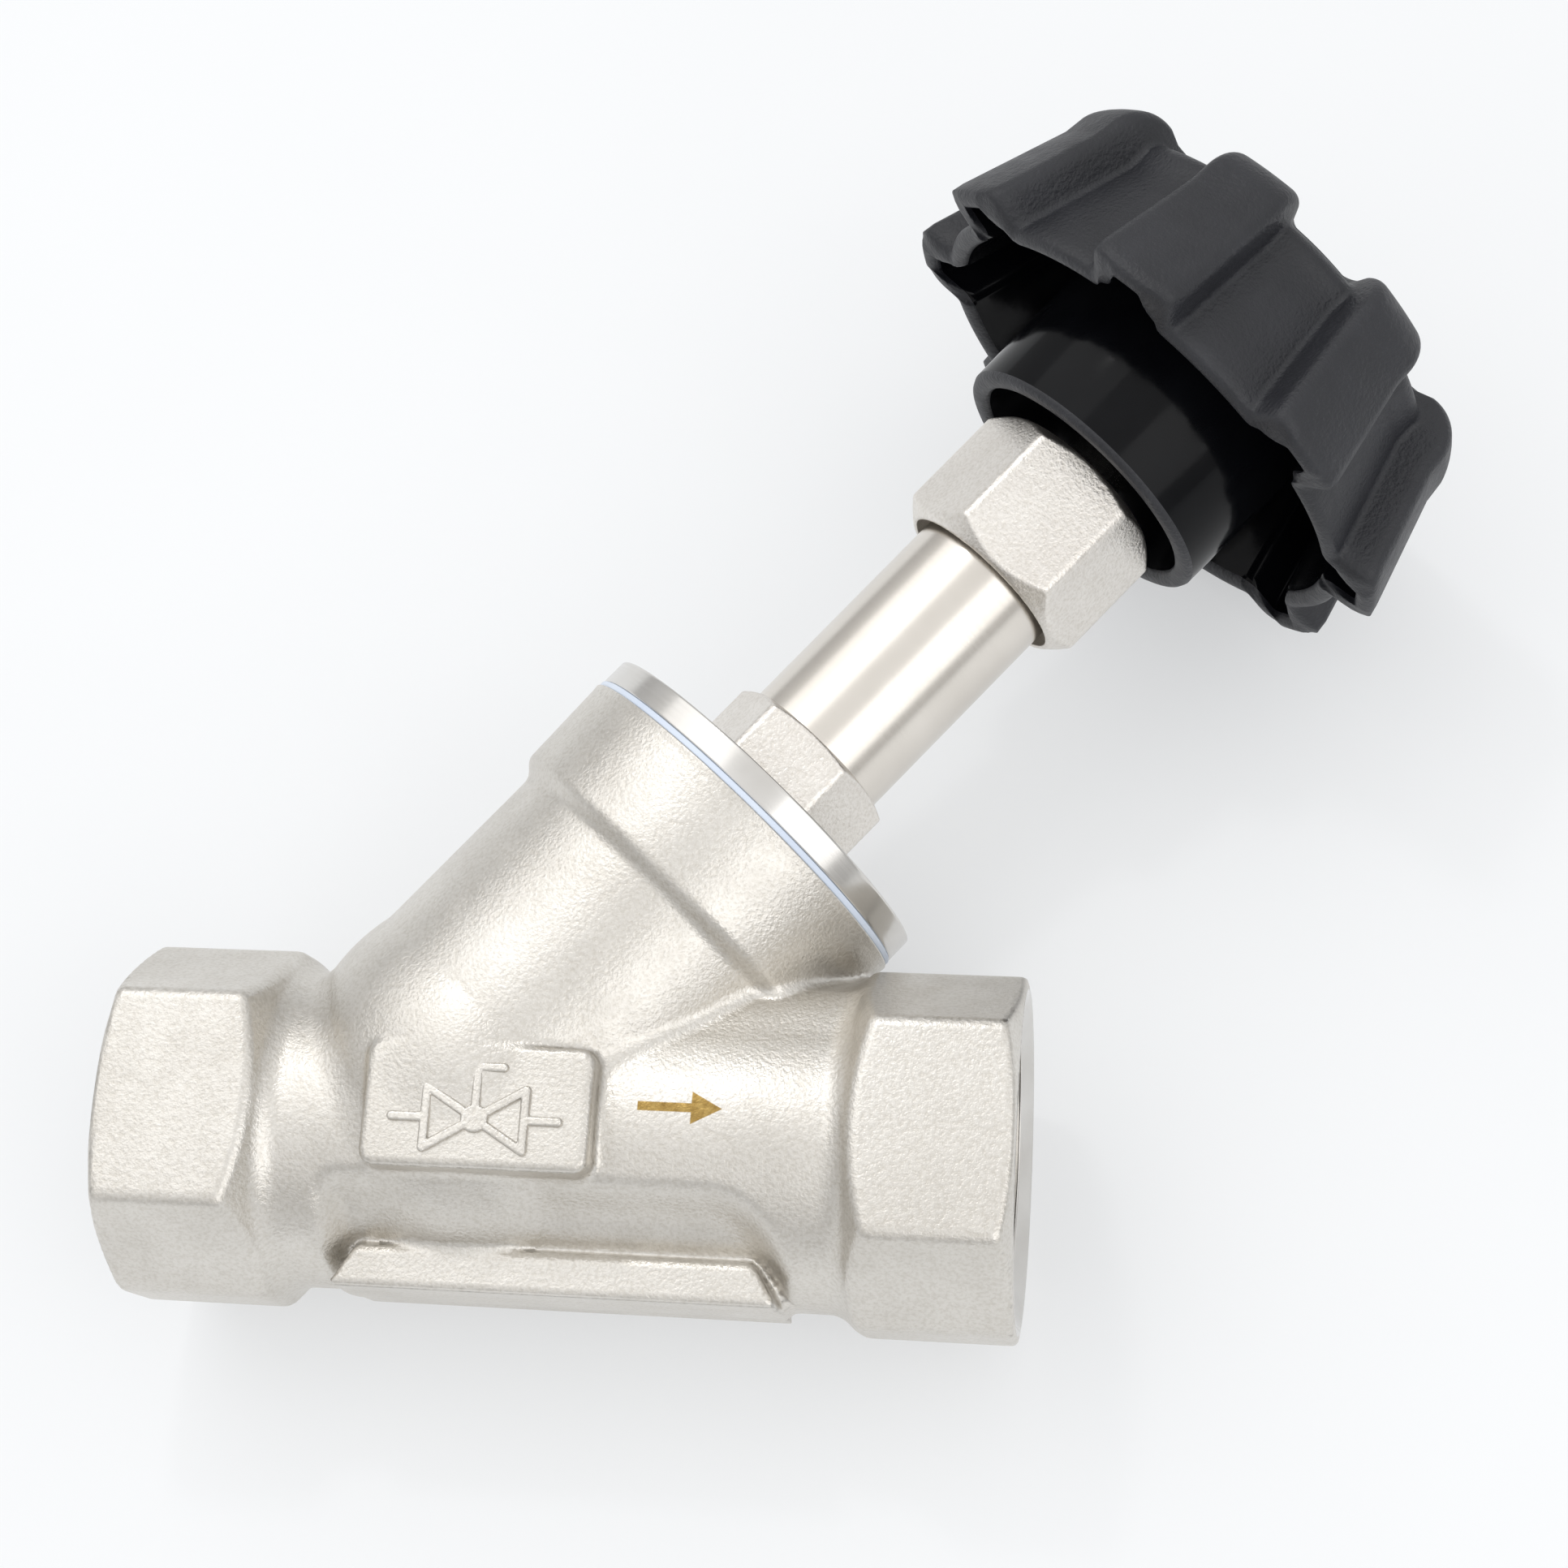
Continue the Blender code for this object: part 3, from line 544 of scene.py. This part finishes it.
def lobe_angles():
    """Angles round the wheel, dense at both sides of each lobe, where the skirt steps."""
    period = 360 / LOBES
    flank = np.arange(3.0, 13.4, 0.2)
    top = np.arange(-2.4, 2.5, 1.2)
    valley = np.arange(14.2, period - 13.8, 1.2)
    offsets = np.concatenate([-flank[::-1], top, flank, valley])
    angles = [LOBE_TURN + period * lobe + offsets for lobe in range(LOBES)]
    return np.radians(np.concatenate(angles))


def on_lobe(angles, top_edge, foot, top_round, foot_round):
    """1 on a lobe and 0 in a valley.

    The flank falls from the top edge to the foot, both in degrees from the lobe's middle,
    between a rounded edge and a fillet whose radii are shares of the lobe's height.
    """
    period = 360 / LOBES
    away = np.abs((np.degrees(angles) - LOBE_TURN + period / 2) % period - period / 2)
    per_degree = math.radians(RIM_RADIUS - LOBE_RISE / 2) / LOBE_RISE
    bend = np.radians(np.linspace(0, 84, 12))
    edge_x = top_edge * per_degree - top_round * (1 - np.sin(bend))
    edge_y = 1 - top_round * (1 - np.cos(bend))
    foot_x = foot * per_degree + foot_round * (1 - np.sin(bend[::-1]))
    foot_y = foot_round * (1 - np.cos(bend[::-1]))
    outline_x, outline_y = np.concatenate([edge_x, foot_x]), np.concatenate([edge_y, foot_y])
    return np.interp(away * per_degree, outline_x, outline_y)


def arc(centre, radius, start, end, steps):
    """Points of (radius, height) on an arc, from one bearing in degrees to another."""
    bearings = np.radians(np.linspace(start, end, steps + 1))
    return [(centre[0] + radius * math.cos(a), centre[1] + radius * math.sin(a)) for a in bearings]


def wheel_profile():
    """The skirt's section, and how many of its points come before the inside.

    Each row has the radius and height on a lobe, how far both sink in a valley, and how much
    the point belongs to the inner face, whose lobes are narrower by the wall.
    """
    top_drop = 2.6  # of a valley below the lobes, at the wheel's top
    lean = math.degrees(math.atan2(RIM_RADIUS - SHOULDER_RADIUS, WHEEL_SHOULDER - WHEEL_RIM))
    found = []
    rim_centre = (RIM_RADIUS - 1.7, WHEEL_RIM + 1.7)
    rim = arc(rim_centre, RIM_ROUND, 180, 360 - lean, 10)
    for i, (radius, height) in enumerate(rim):
        found.append((radius, height, LOBE_RISE, 0.0, 1 - i / 10))
    for share in np.linspace(0.08, 0.92, 12):
        radius = RIM_RADIUS - 0.1 + share * (SHOULDER_RADIUS - RIM_RADIUS)
        found.append((radius, WHEEL_RIM + 1.5 + share * 19.5, LOBE_RISE, 0.0, 0.0))
    for radius, height in arc((SHOULDER_RADIUS - 7.2, WHEEL_SHOULDER - 0.6), 7.4, 12, 84, 12):
        drop = top_drop * (height - WHEEL_SHOULDER) / (WHEEL_TOP - WHEEL_SHOULDER)
        found.append((radius, height, LOBE_RISE - drop, drop, 0.0))
    for share in np.linspace(0.0, 1.0, 6):
        fade = 1 - share * share * (3 - 2 * share)
        height = WHEEL_TOP - 0.7 + 0.7 * share
        found.append((SHOULDER_RADIUS - 9.0 - 6.0 * share, height, 3.0 * fade, 2.2 * fade, 0.0))
    plain = [
        (CAP_RADIUS + 0.6, WHEEL_TOP), (CAP_RADIUS, WHEEL_TOP - 0.6),
        (CAP_RADIUS, WHEEL_TOP - 2.4), (12.0, WHEEL_TOP - 2.4), (12.0, 159.8),
        (4.3, 159.8), (4.3, 150.6), (7.0, 150.6), (7.0, 147.0), (15.0, 147.0),
        (17.2, 146.4), (SLEEVE_BORE, 145.2), (SLEEVE_BORE, SLEEVE_BOTTOM + 0.9),
        (SLEEVE_BORE + 0.3, SLEEVE_BOTTOM + 0.3), (SLEEVE_BORE + 0.9, SLEEVE_BOTTOM),
        (SLEEVE_RADIUS - 0.9, SLEEVE_BOTTOM), (SLEEVE_RADIUS - 0.3, SLEEVE_BOTTOM + 0.3),
        (SLEEVE_RADIUS, SLEEVE_BOTTOM + 0.9), (SLEEVE_RADIUS + 0.3, 150.0),
        (SLEEVE_RADIUS + 0.6, 160.6), (SLEEVE_RADIUS + 1.4, 162.6), (SLEEVE_RADIUS + 3.0, 163.4),
    ]
    outside = len(found)
    found += [(radius, height, 0.0, 0.0, 1.0) for radius, height in plain]
    inner_shoulder = (SHOULDER_RADIUS - 7.2, WHEEL_SHOULDER - 1.0)
    for radius, height in reversed(arc(inner_shoulder, 4.6, 6, 70, 7)):
        drop = top_drop * max(height - WHEEL_SHOULDER + 0.6, 0.0) / 7.0
        found.append((radius, height, LOBE_RISE - drop, drop, 1.0))
    for share in np.linspace(0.95, 0.03, 12):
        radius = RIM_RADIUS - 0.1 - SKIRT_WALL + share * (SHOULDER_RADIUS - RIM_RADIUS)
        found.append((radius, WHEEL_RIM + 1.5 + share * 19.0, LOBE_RISE, 0.0, 1.0))
    return np.array(found), outside


def wheel_piece(outer_finish, inner_gloss_and_painted_shade):
    profile, outside = wheel_profile()
    angles = lobe_angles()
    radius, height, sink, drop, inner = (profile[:, i, None] for i in range(5))
    into_corner = np.clip(RIM_CORNER - (profile[:, 1] - WHEEL_RIM), 0, RIM_CORNER)
    narrower = RIM_CORNER - np.sqrt(RIM_CORNER ** 2 - into_corner ** 2)
    narrower /= math.radians(RIM_RADIUS)
    outer_lobe = np.stack([on_lobe(angles, 10.0 - n, 10.9 - n, 0.38, 0.2) for n in narrower])
    inner_lobe = np.stack([on_lobe(angles, 5.8 - n, 6.7 - n, 0.15, 0.4) for n in narrower])
    lobe = (1 - inner) * outer_lobe + inner * inner_lobe
    radius = radius - sink * (1 - lobe)
    height = height - drop * (1 - lobe)
    points = np.stack([radius * np.cos(angles), radius * np.sin(angles), height], -1)
    faces = ring_faces(len(profile), len(angles))
    mesh = mesh_from("handwheel_moulding", points.reshape(-1, 3), faces, STEM_FRAME)
    mesh.set_sharp_from_angle(angle=math.radians(75))
    # Faces inside the skirt and the hub get the glossy black whose darker colour is painted shade; the sleeve's
    # end ring, which faces out of the wheel, keeps the lighter outer black.
    row = np.arange(len(faces)) // len(angles)
    sleeve_end = (row >= outside + 12) & (row < outside + 17)
    gloss_and_shade_faces = ((row == 0) | (row >= outside - 1)) & ~sleeve_end
    finishes = [outer_finish, inner_gloss_and_painted_shade]
    piece = add_piece(
        "handwheel_moulding", mesh, "spindle", finishes, ["handwheel"]
    )
    mesh.polygons.foreach_set("material_index", gloss_and_shade_faces.astype(np.int32))
    return piece


# Materials.

class Nodes:
    """Short calls for building one material's node tree, in metres in a local frame."""

    def __init__(self, name, local=STEM_FRAME):
        self.material = bpy.data.materials.new(name)
        self.material.use_nodes = True
        self.tree = self.material.node_tree
        self.shader = self.tree.nodes["Principled BSDF"]
        mapping = self.add("ShaderNodeMapping", vector_type="TEXTURE")
        mapping.inputs["Location"].default_value = local.translation
        mapping.inputs["Rotation"].default_value = local.to_euler()
        self.link(self.add("ShaderNodeTexCoord").outputs["Object"], mapping.inputs["Vector"])
        self.place = mapping.outputs["Vector"]

    def add(self, kind, **settings):
        node = self.tree.nodes.new(kind)
        for key, value in settings.items():
            setattr(node, key, value)
        return node

    def link(self, source, target):
        self.tree.links.new(source, target)

    def noise(self, scale, detail=2.0, roughness=0.5, stretch=None):
        place = self.place
        if stretch:
            mapping = self.add("ShaderNodeMapping")
            mapping.inputs["Scale"].default_value = stretch
            self.link(place, mapping.inputs["Vector"])
            place = mapping.outputs["Vector"]
        node = self.add("ShaderNodeTexNoise")
        node.inputs["Scale"].default_value = scale
        node.inputs["Detail"].default_value = detail
        node.inputs["Roughness"].default_value = roughness
        self.link(place, node.inputs["Vector"])
        return node.outputs["Fac"]

    def ramp(self, source, low, high, start=0.3, end=0.7):
        """A colour or grey between low and high, as source goes from start to end."""
        node = self.add("ShaderNodeValToRGB")
        for element, where, value in zip(node.color_ramp.elements, (start, end), (low, high)):
            element.position = where
            element.color = (*value, 1.0) if isinstance(value, tuple) else (value,) * 3 + (1.0,)
        self.link(source, node.inputs["Fac"])
        return node.outputs["Color"]

    def math(self, operation, first, second, clamp=False):
        node = self.add("ShaderNodeMath", operation=operation, use_clamp=clamp)
        for socket_in, value in zip(node.inputs, (first, second)):
            if isinstance(value, (int, float)):
                socket_in.default_value = value
            else:
                self.link(value, socket_in)
        return node.outputs["Value"]

    def mix(self, share, first, second):
        node = self.add("ShaderNodeMix", data_type="RGBA")
        sockets = (node.inputs[0], node.inputs[6], node.inputs[7])
        for socket_in, value in zip(sockets, (share, first, second)):
            if isinstance(value, tuple):
                socket_in.default_value = (*value, 1.0)
            elif isinstance(value, (int, float)):
                socket_in.default_value = value
            else:
                self.link(value, socket_in)
        return node.outputs[2]

    def bump(self, height, depth, strength=1.0):
        """Adds relief of this depth in millimetres, on top of what was added before."""
        node = self.add("ShaderNodeBump")
        node.inputs["Strength"].default_value = strength
        node.inputs["Distance"].default_value = depth * MM
        self.link(height, node.inputs["Height"])
        before = self.shader.inputs["Normal"]
        if before.is_linked:
            self.link(before.links[0].from_socket, node.inputs["Normal"])
        self.link(node.outputs["Normal"], before)

    def finish(self, colour, roughness, metallic=0.0, **sockets):
        for key, value in (("Base Color", colour), ("Roughness", roughness)):
            self.link(value, self.shader.inputs[key])
        self.shader.inputs["Metallic"].default_value = metallic
        for key, value in sockets.items():
            self.shader.inputs[key.replace("_", " ")].default_value = value
        return self.material


CAST_LOW, CAST_HIGH = (0.655, 0.628, 0.583), (0.742, 0.716, 0.672)
NUT_LOW, NUT_HIGH = (0.77, 0.735, 0.69), (0.87, 0.84, 0.795)


def cast_metal(name, low, high, arrow=False):
    """Blasted investment casting: an orange-peel grain, with faint clouding."""
    made = Nodes(name, VALVE_FRAME if arrow else STEM_FRAME)
    clouds = made.ramp(made.noise(55, 3.0, 0.55), low, high)
    grain = made.noise(1900, 2.0, 0.6)
    fleck = made.ramp(grain, (0.88, 0.87, 0.85), (1.0, 1.0, 1.0), 0.32, 0.58)
    tint = made.add("ShaderNodeMix", data_type="RGBA", blend_type="MULTIPLY")
    tint.inputs[0].default_value = 1.0
    made.link(clouds, tint.inputs[6])
    made.link(fleck, tint.inputs[7])
    colour = tint.outputs[2]
    rough = made.ramp(made.noise(240, 3.0), 0.33, 0.43)
    if arrow:
        gold = made.ramp(made.noise(900, 2.0), (0.27, 0.17, 0.05), (0.42, 0.29, 0.10))
        colour = made.mix(arrow_mask(made), colour, gold)
    made.bump(made.noise(520, 2.0), 0.03, 0.5)
    made.bump(grain, 0.10, 1.0)
    return made.finish(colour, rough, 1.0)


def arrow_mask(made):
    """1 inside the flow arrow that is marked on the barrel, in the valve frame."""
    split = made.add("ShaderNodeSeparateXYZ")
    made.link(made.place, split.inputs[0])
    u, v, w = split.outputs
    tail, neck_end, tip = 31.6 * MM, 38.6 * MM, 42.8 * MM
    soft = 1 / (0.12 * MM)

    def inside(distance):
        """A soft step to 1 where the distance in metres is positive."""
        return made.math("MULTIPLY", distance, soft, True)

    across = made.math("ABSOLUTE", made.math("SUBTRACT", v, 1.6 * MM), 0.0)
    narrowing = made.math("MULTIPLY", made.math("SUBTRACT", tip, u), 0.53)
    head = made.math("SUBTRACT", narrowing, across)
    head = made.math("MINIMUM", head, made.math("SUBTRACT", u, neck_end))
    shaft = made.math("SUBTRACT", 0.66 * MM, across)
    shaft = made.math("MINIMUM", shaft, made.math("SUBTRACT", u, tail))
    shaft = made.math("MINIMUM", shaft, made.math("SUBTRACT", neck_end + 0.3 * MM, u))
    shape = made.math("MAXIMUM", head, shaft)
    return made.math("MULTIPLY", inside(shape), inside(w))


def turned_metal(name, low, high, roughness=(0.14, 0.24), rings=1.0):
    """Turned metal: fine rings round the local Z axis, and faint clouding."""
    made = Nodes(name)
    colour = made.ramp(made.noise(90, 3.0), low, high)
    lines = made.noise(1.0, 2.0, 0.6, (60, 60, 5200))
    rough = made.ramp(lines, *roughness)
    made.bump(lines, 0.006 * rings, 0.5)
    return made.finish(colour, rough, 1.0)


def plain_finish(name, low, high, roughness, grain, depth, metallic=0.0, **sockets):
    """A finish with clouding, a fine grain of this scale and a relief of this depth."""
    made = Nodes(name)
    colour = made.ramp(made.noise(110, 3.0), low, high)
    rough = made.ramp(made.noise(340, 3.0), *roughness)
    made.bump(made.noise(grain, 2.0, 0.6), depth, 0.7)
    return made.finish(colour, rough, metallic, **sockets)


casting_finish = cast_metal("cast_with_arrow", CAST_LOW, CAST_HIGH, arrow=True)
plain_cast_finish = cast_metal("cast_plain", CAST_LOW, CAST_HIGH)
nut_finish = cast_metal("bright_nut", NUT_LOW, NUT_HIGH)
turned_finish = turned_metal("turned_stainless", (0.62, 0.60, 0.57), (0.74, 0.725, 0.70))
tube_finish = turned_metal(
    "polished_tube", (0.69, 0.65, 0.595), (0.75, 0.71, 0.655), (0.21, 0.26), 0.12
)
bronze_finish = turned_metal("turned_bronze", (0.55, 0.37, 0.15), (0.68, 0.48, 0.24))
spring_finish = plain_finish(
    "drawn_wire", (0.45, 0.45, 0.46), (0.58, 0.58, 0.59), (0.2, 0.35), 1500, 0.01, 1.0
)
matte_black = plain_finish(
    "moulded_black", (0.0130, 0.0137, 0.0175), (0.0205, 0.0214, 0.0265), (0.44, 0.54), 1500, 0.25
)
# The inside of the handwheel: its gloss is real, but its base colour, far darker than the outer black, and its
# weak reflection (Specular IOR Level 0.14) are painted shade inside the wheel.
gloss_black_and_painted_shade = plain_finish(
    "gloss_black_and_painted_shade", (0.002, 0.0022, 0.003), (0.004, 0.0043, 0.0055), (0.10, 0.16), 320, 0.02,
    Specular_IOR_Level=0.14,
)
white_finish = plain_finish(
    "white_fluoropolymer", (0.62, 0.70, 0.84), (0.70, 0.77, 0.88), (0.35, 0.5), 900, 0.01
)
rubber_finish = plain_finish(
    "black_rubber", (0.015, 0.015, 0.016), (0.03, 0.03, 0.03), (0.6, 0.8), 1500, 0.02
)

CAD_FINISHES = {
    "machined_stainless": turned_finish,
    "cast_stainless": plain_cast_finish,
    "white_fluoropolymer": white_finish,
    "bronze": bronze_finish,
    "black_rubber": rubber_finish,
    "black_plastic": matte_black,
    "spring_steel": spring_finish,
}
node_slots = {part["node"]: part["material_slot"] for part in record["subparts"]}
for node_name, node in frame["nodes"].items():
    node.data.materials.clear()
    node.data.materials.append(CAD_FINISHES[node_slots[node_name]])


# The pieces that replace CAD nodes, and those added to them.

CASTING_GRID = 0.7779  # puts both end faces well between two planes of the grid
field_piece(
    "valve_casting", casting, (-41.556, -29, -29.5), (82, 65, 29.5), CASTING_GRID, VALVE_FRAME,
    "valve", casting_finish, ["valve_body"],
)
field_piece(
    "pad_symbol", symbol, (-1, -8, 24), (24, 7, 27), 0.22, VALVE_FRAME,
    "valve", plain_cast_finish,
)
thread_piece("inlet_thread", INLET_FACE, 1, turned_finish)
thread_piece("outlet_thread", OUTLET_FACE, -1, turned_finish)

lathe_piece("boss_lip", [
    (22.3, BOSS_TOP - 2.0), (BOSS_RADIUS + 0.3, BOSS_TOP - 2.0), (BOSS_RADIUS + 0.52, BOSS_TOP),
    (22.3, BOSS_TOP),
], 0.2, SEGMENTS, "valve", plain_cast_finish)
lathe_piece("gasket_ring", [
    (22.7, BOSS_TOP), (GASKET_RADIUS, BOSS_TOP), (GASKET_RADIUS, GASKET_TOP),
    (22.7, GASKET_TOP),
], 0.25, SEGMENTS, "valve", white_finish, ["bonnet_gasket"])
lathe_piece("bonnet_turning", [
    (7.2, 52.0), (10.8, 52.0), (11.8, 55.5), (18.3, 57.0), (18.3, 46.0), (21.1, 46.0),
    (21.9, 46.8), (21.9, GASKET_TOP), (FLANGE_RADIUS, GASKET_TOP), (FLANGE_RADIUS, FLANGE_TOP),
    (9.2, FLANGE_TOP), (9.2, 66.8), (7.2, 66.8),
], 0.35, SEGMENTS, "valve", turned_finish, ["bonnet"])
field_piece(
    "bonnet_hexagon", bonnet_hexagon, (-15, -15, 62.5), (15, 15, 76), 0.32, STEM_FRAME,
    "valve", nut_finish,
)
lathe_piece("polished_tube", [
    (5.3, 67.1), (8.9, 67.1), (8.9, 73.0), (10.5, 73.0), (TUBE_RADIUS, 73.6), (TUBE_RADIUS, 119.0),
    (8.8, 119.0), (8.8, 78.0), (5.3, 78.0),
], 0.3, SEGMENTS, "valve", tube_finish, ["bonnet_tube"])
field_piece(
    "hexagon_top_nut", top_nut, (-17, -17, 107), (17, 17, 129.4), 0.34, STEM_FRAME,
    "valve", nut_finish, ["top_nut"],
)
wheel_piece(matte_black, gloss_black_and_painted_shade)
lathe_piece("cap_disc", [
    (0, 167.4), (13.7, 167.4), (13.7, 168.9), (12.9, WHEEL_TOP - 0.1), (10.6, WHEEL_TOP - 0.1),
    (10.0, WHEEL_TOP - 0.7), (0, WHEEL_TOP - 0.7),
], 0.4, SMALL_SEGMENTS, "spindle", matte_black, ["wheel_cap"])


# Floor, light and camera.

def add_floor():
    reach = 3000
    corners = [(-reach, -reach, 0), (reach, -reach, 0), (reach, reach, 0), (-reach, reach, 0)]
    mesh = mesh_from("floor", corners, [(0, 1, 2, 3)])
    floor = bpy.data.objects.new("floor", mesh)
    bpy.context.scene.collection.objects.link(floor)
    made = Nodes("floor_paper")
    colour = made.ramp(made.noise(6, 2.0), (0.47, 0.478, 0.486), (0.48, 0.488, 0.496))
    rough = made.ramp(made.noise(30, 2.0), 0.6, 0.7)
    glow = {"Emission_Color": (0.98, 0.99, 1.0, 1.0), "Emission_Strength": 0.42}
    mesh.materials.append(made.finish(colour, rough, **glow))


def add_area(name, place, target, size, radiance):
    """A square softbox at a place in the valve frame, in millimetres, turned to its target."""
    light = bpy.data.lights.new(name, "AREA")
    light.size = size * MM
    light.energy = radiance * math.pi * light.size ** 2
    lamp = bpy.data.objects.new(name, light)
    bpy.context.scene.collection.objects.link(lamp)
    lamp.location = VALVE_FRAME @ (Vector(place) * MM)
    aim = VALVE_FRAME @ (Vector(target) * MM) - lamp.location
    lamp.rotation_euler = aim.to_track_quat("-Z", "Y").to_euler()
    return lamp


def add_world():
    """A pale studio: bright overhead and darker towards the horizon, so that metal has contrast."""
    world = bpy.data.worlds.new("studio")
    bpy.context.scene.world = world
    world.use_nodes = True
    tree = world.node_tree
    place = tree.nodes.new("ShaderNodeTexCoord").outputs["Generated"]
    split = tree.nodes.new("ShaderNodeSeparateXYZ")
    tree.links.new(place, split.inputs[0])
    ramp = tree.nodes.new("ShaderNodeValToRGB")
    stops = ((0.0, 0.5), (0.3, 0.66), (0.65, 0.93), (1.0, 1.0))
    elements = ramp.color_ramp.elements
    elements[0].position, elements[1].position = stops[0][0], stops[-1][0]
    for where, _ in stops[1:-1]:
        elements.new(where)
    for element, (_, value) in zip(elements, stops):
        element.color = (value, value, value, 1)
    tree.links.new(split.outputs["Z"], ramp.inputs["Fac"])
    background = tree.nodes["Background"]
    tree.links.new(ramp.outputs["Color"], background.inputs["Color"])
    background.inputs["Strength"].default_value = 1.0


CAMERA_PLACE = Vector((98.5, -56.2, 359.6))
CAMERA_FORWARD = Vector((-0.14213, 0.28399, -0.94823))
CAMERA_RIGHT = Vector((0.99090, 0.06210, -0.11880))
LENS = 62.08


def add_camera():
    camera = bpy.data.objects.new("camera", bpy.data.cameras.new("camera"))
    bpy.context.scene.collection.objects.link(camera)
    camera.data.lens = LENS
    camera.data.clip_start = 0.01
    forward = CAMERA_FORWARD.normalized()
    right = (CAMERA_RIGHT - forward * CAMERA_RIGHT.dot(forward)).normalized()
    view = frame_matrix(right, right.cross(forward), -forward, CAMERA_PLACE * MM)
    camera.matrix_world = VALVE_FRAME @ view
    bpy.context.scene.camera = camera


add_floor()
add_world()
add_area("softbox", (-260, 330, 520), (20, 20, 0), 620, 0.62)
add_area("fill", (420, -240, 460), (20, 20, 0), 520, 0.95)
add_area("strip", (-60, 330, 420), (40, 40, 0), 46, 26.0)
add_camera()
bpy.context.scene.view_settings.view_transform = "Standard"
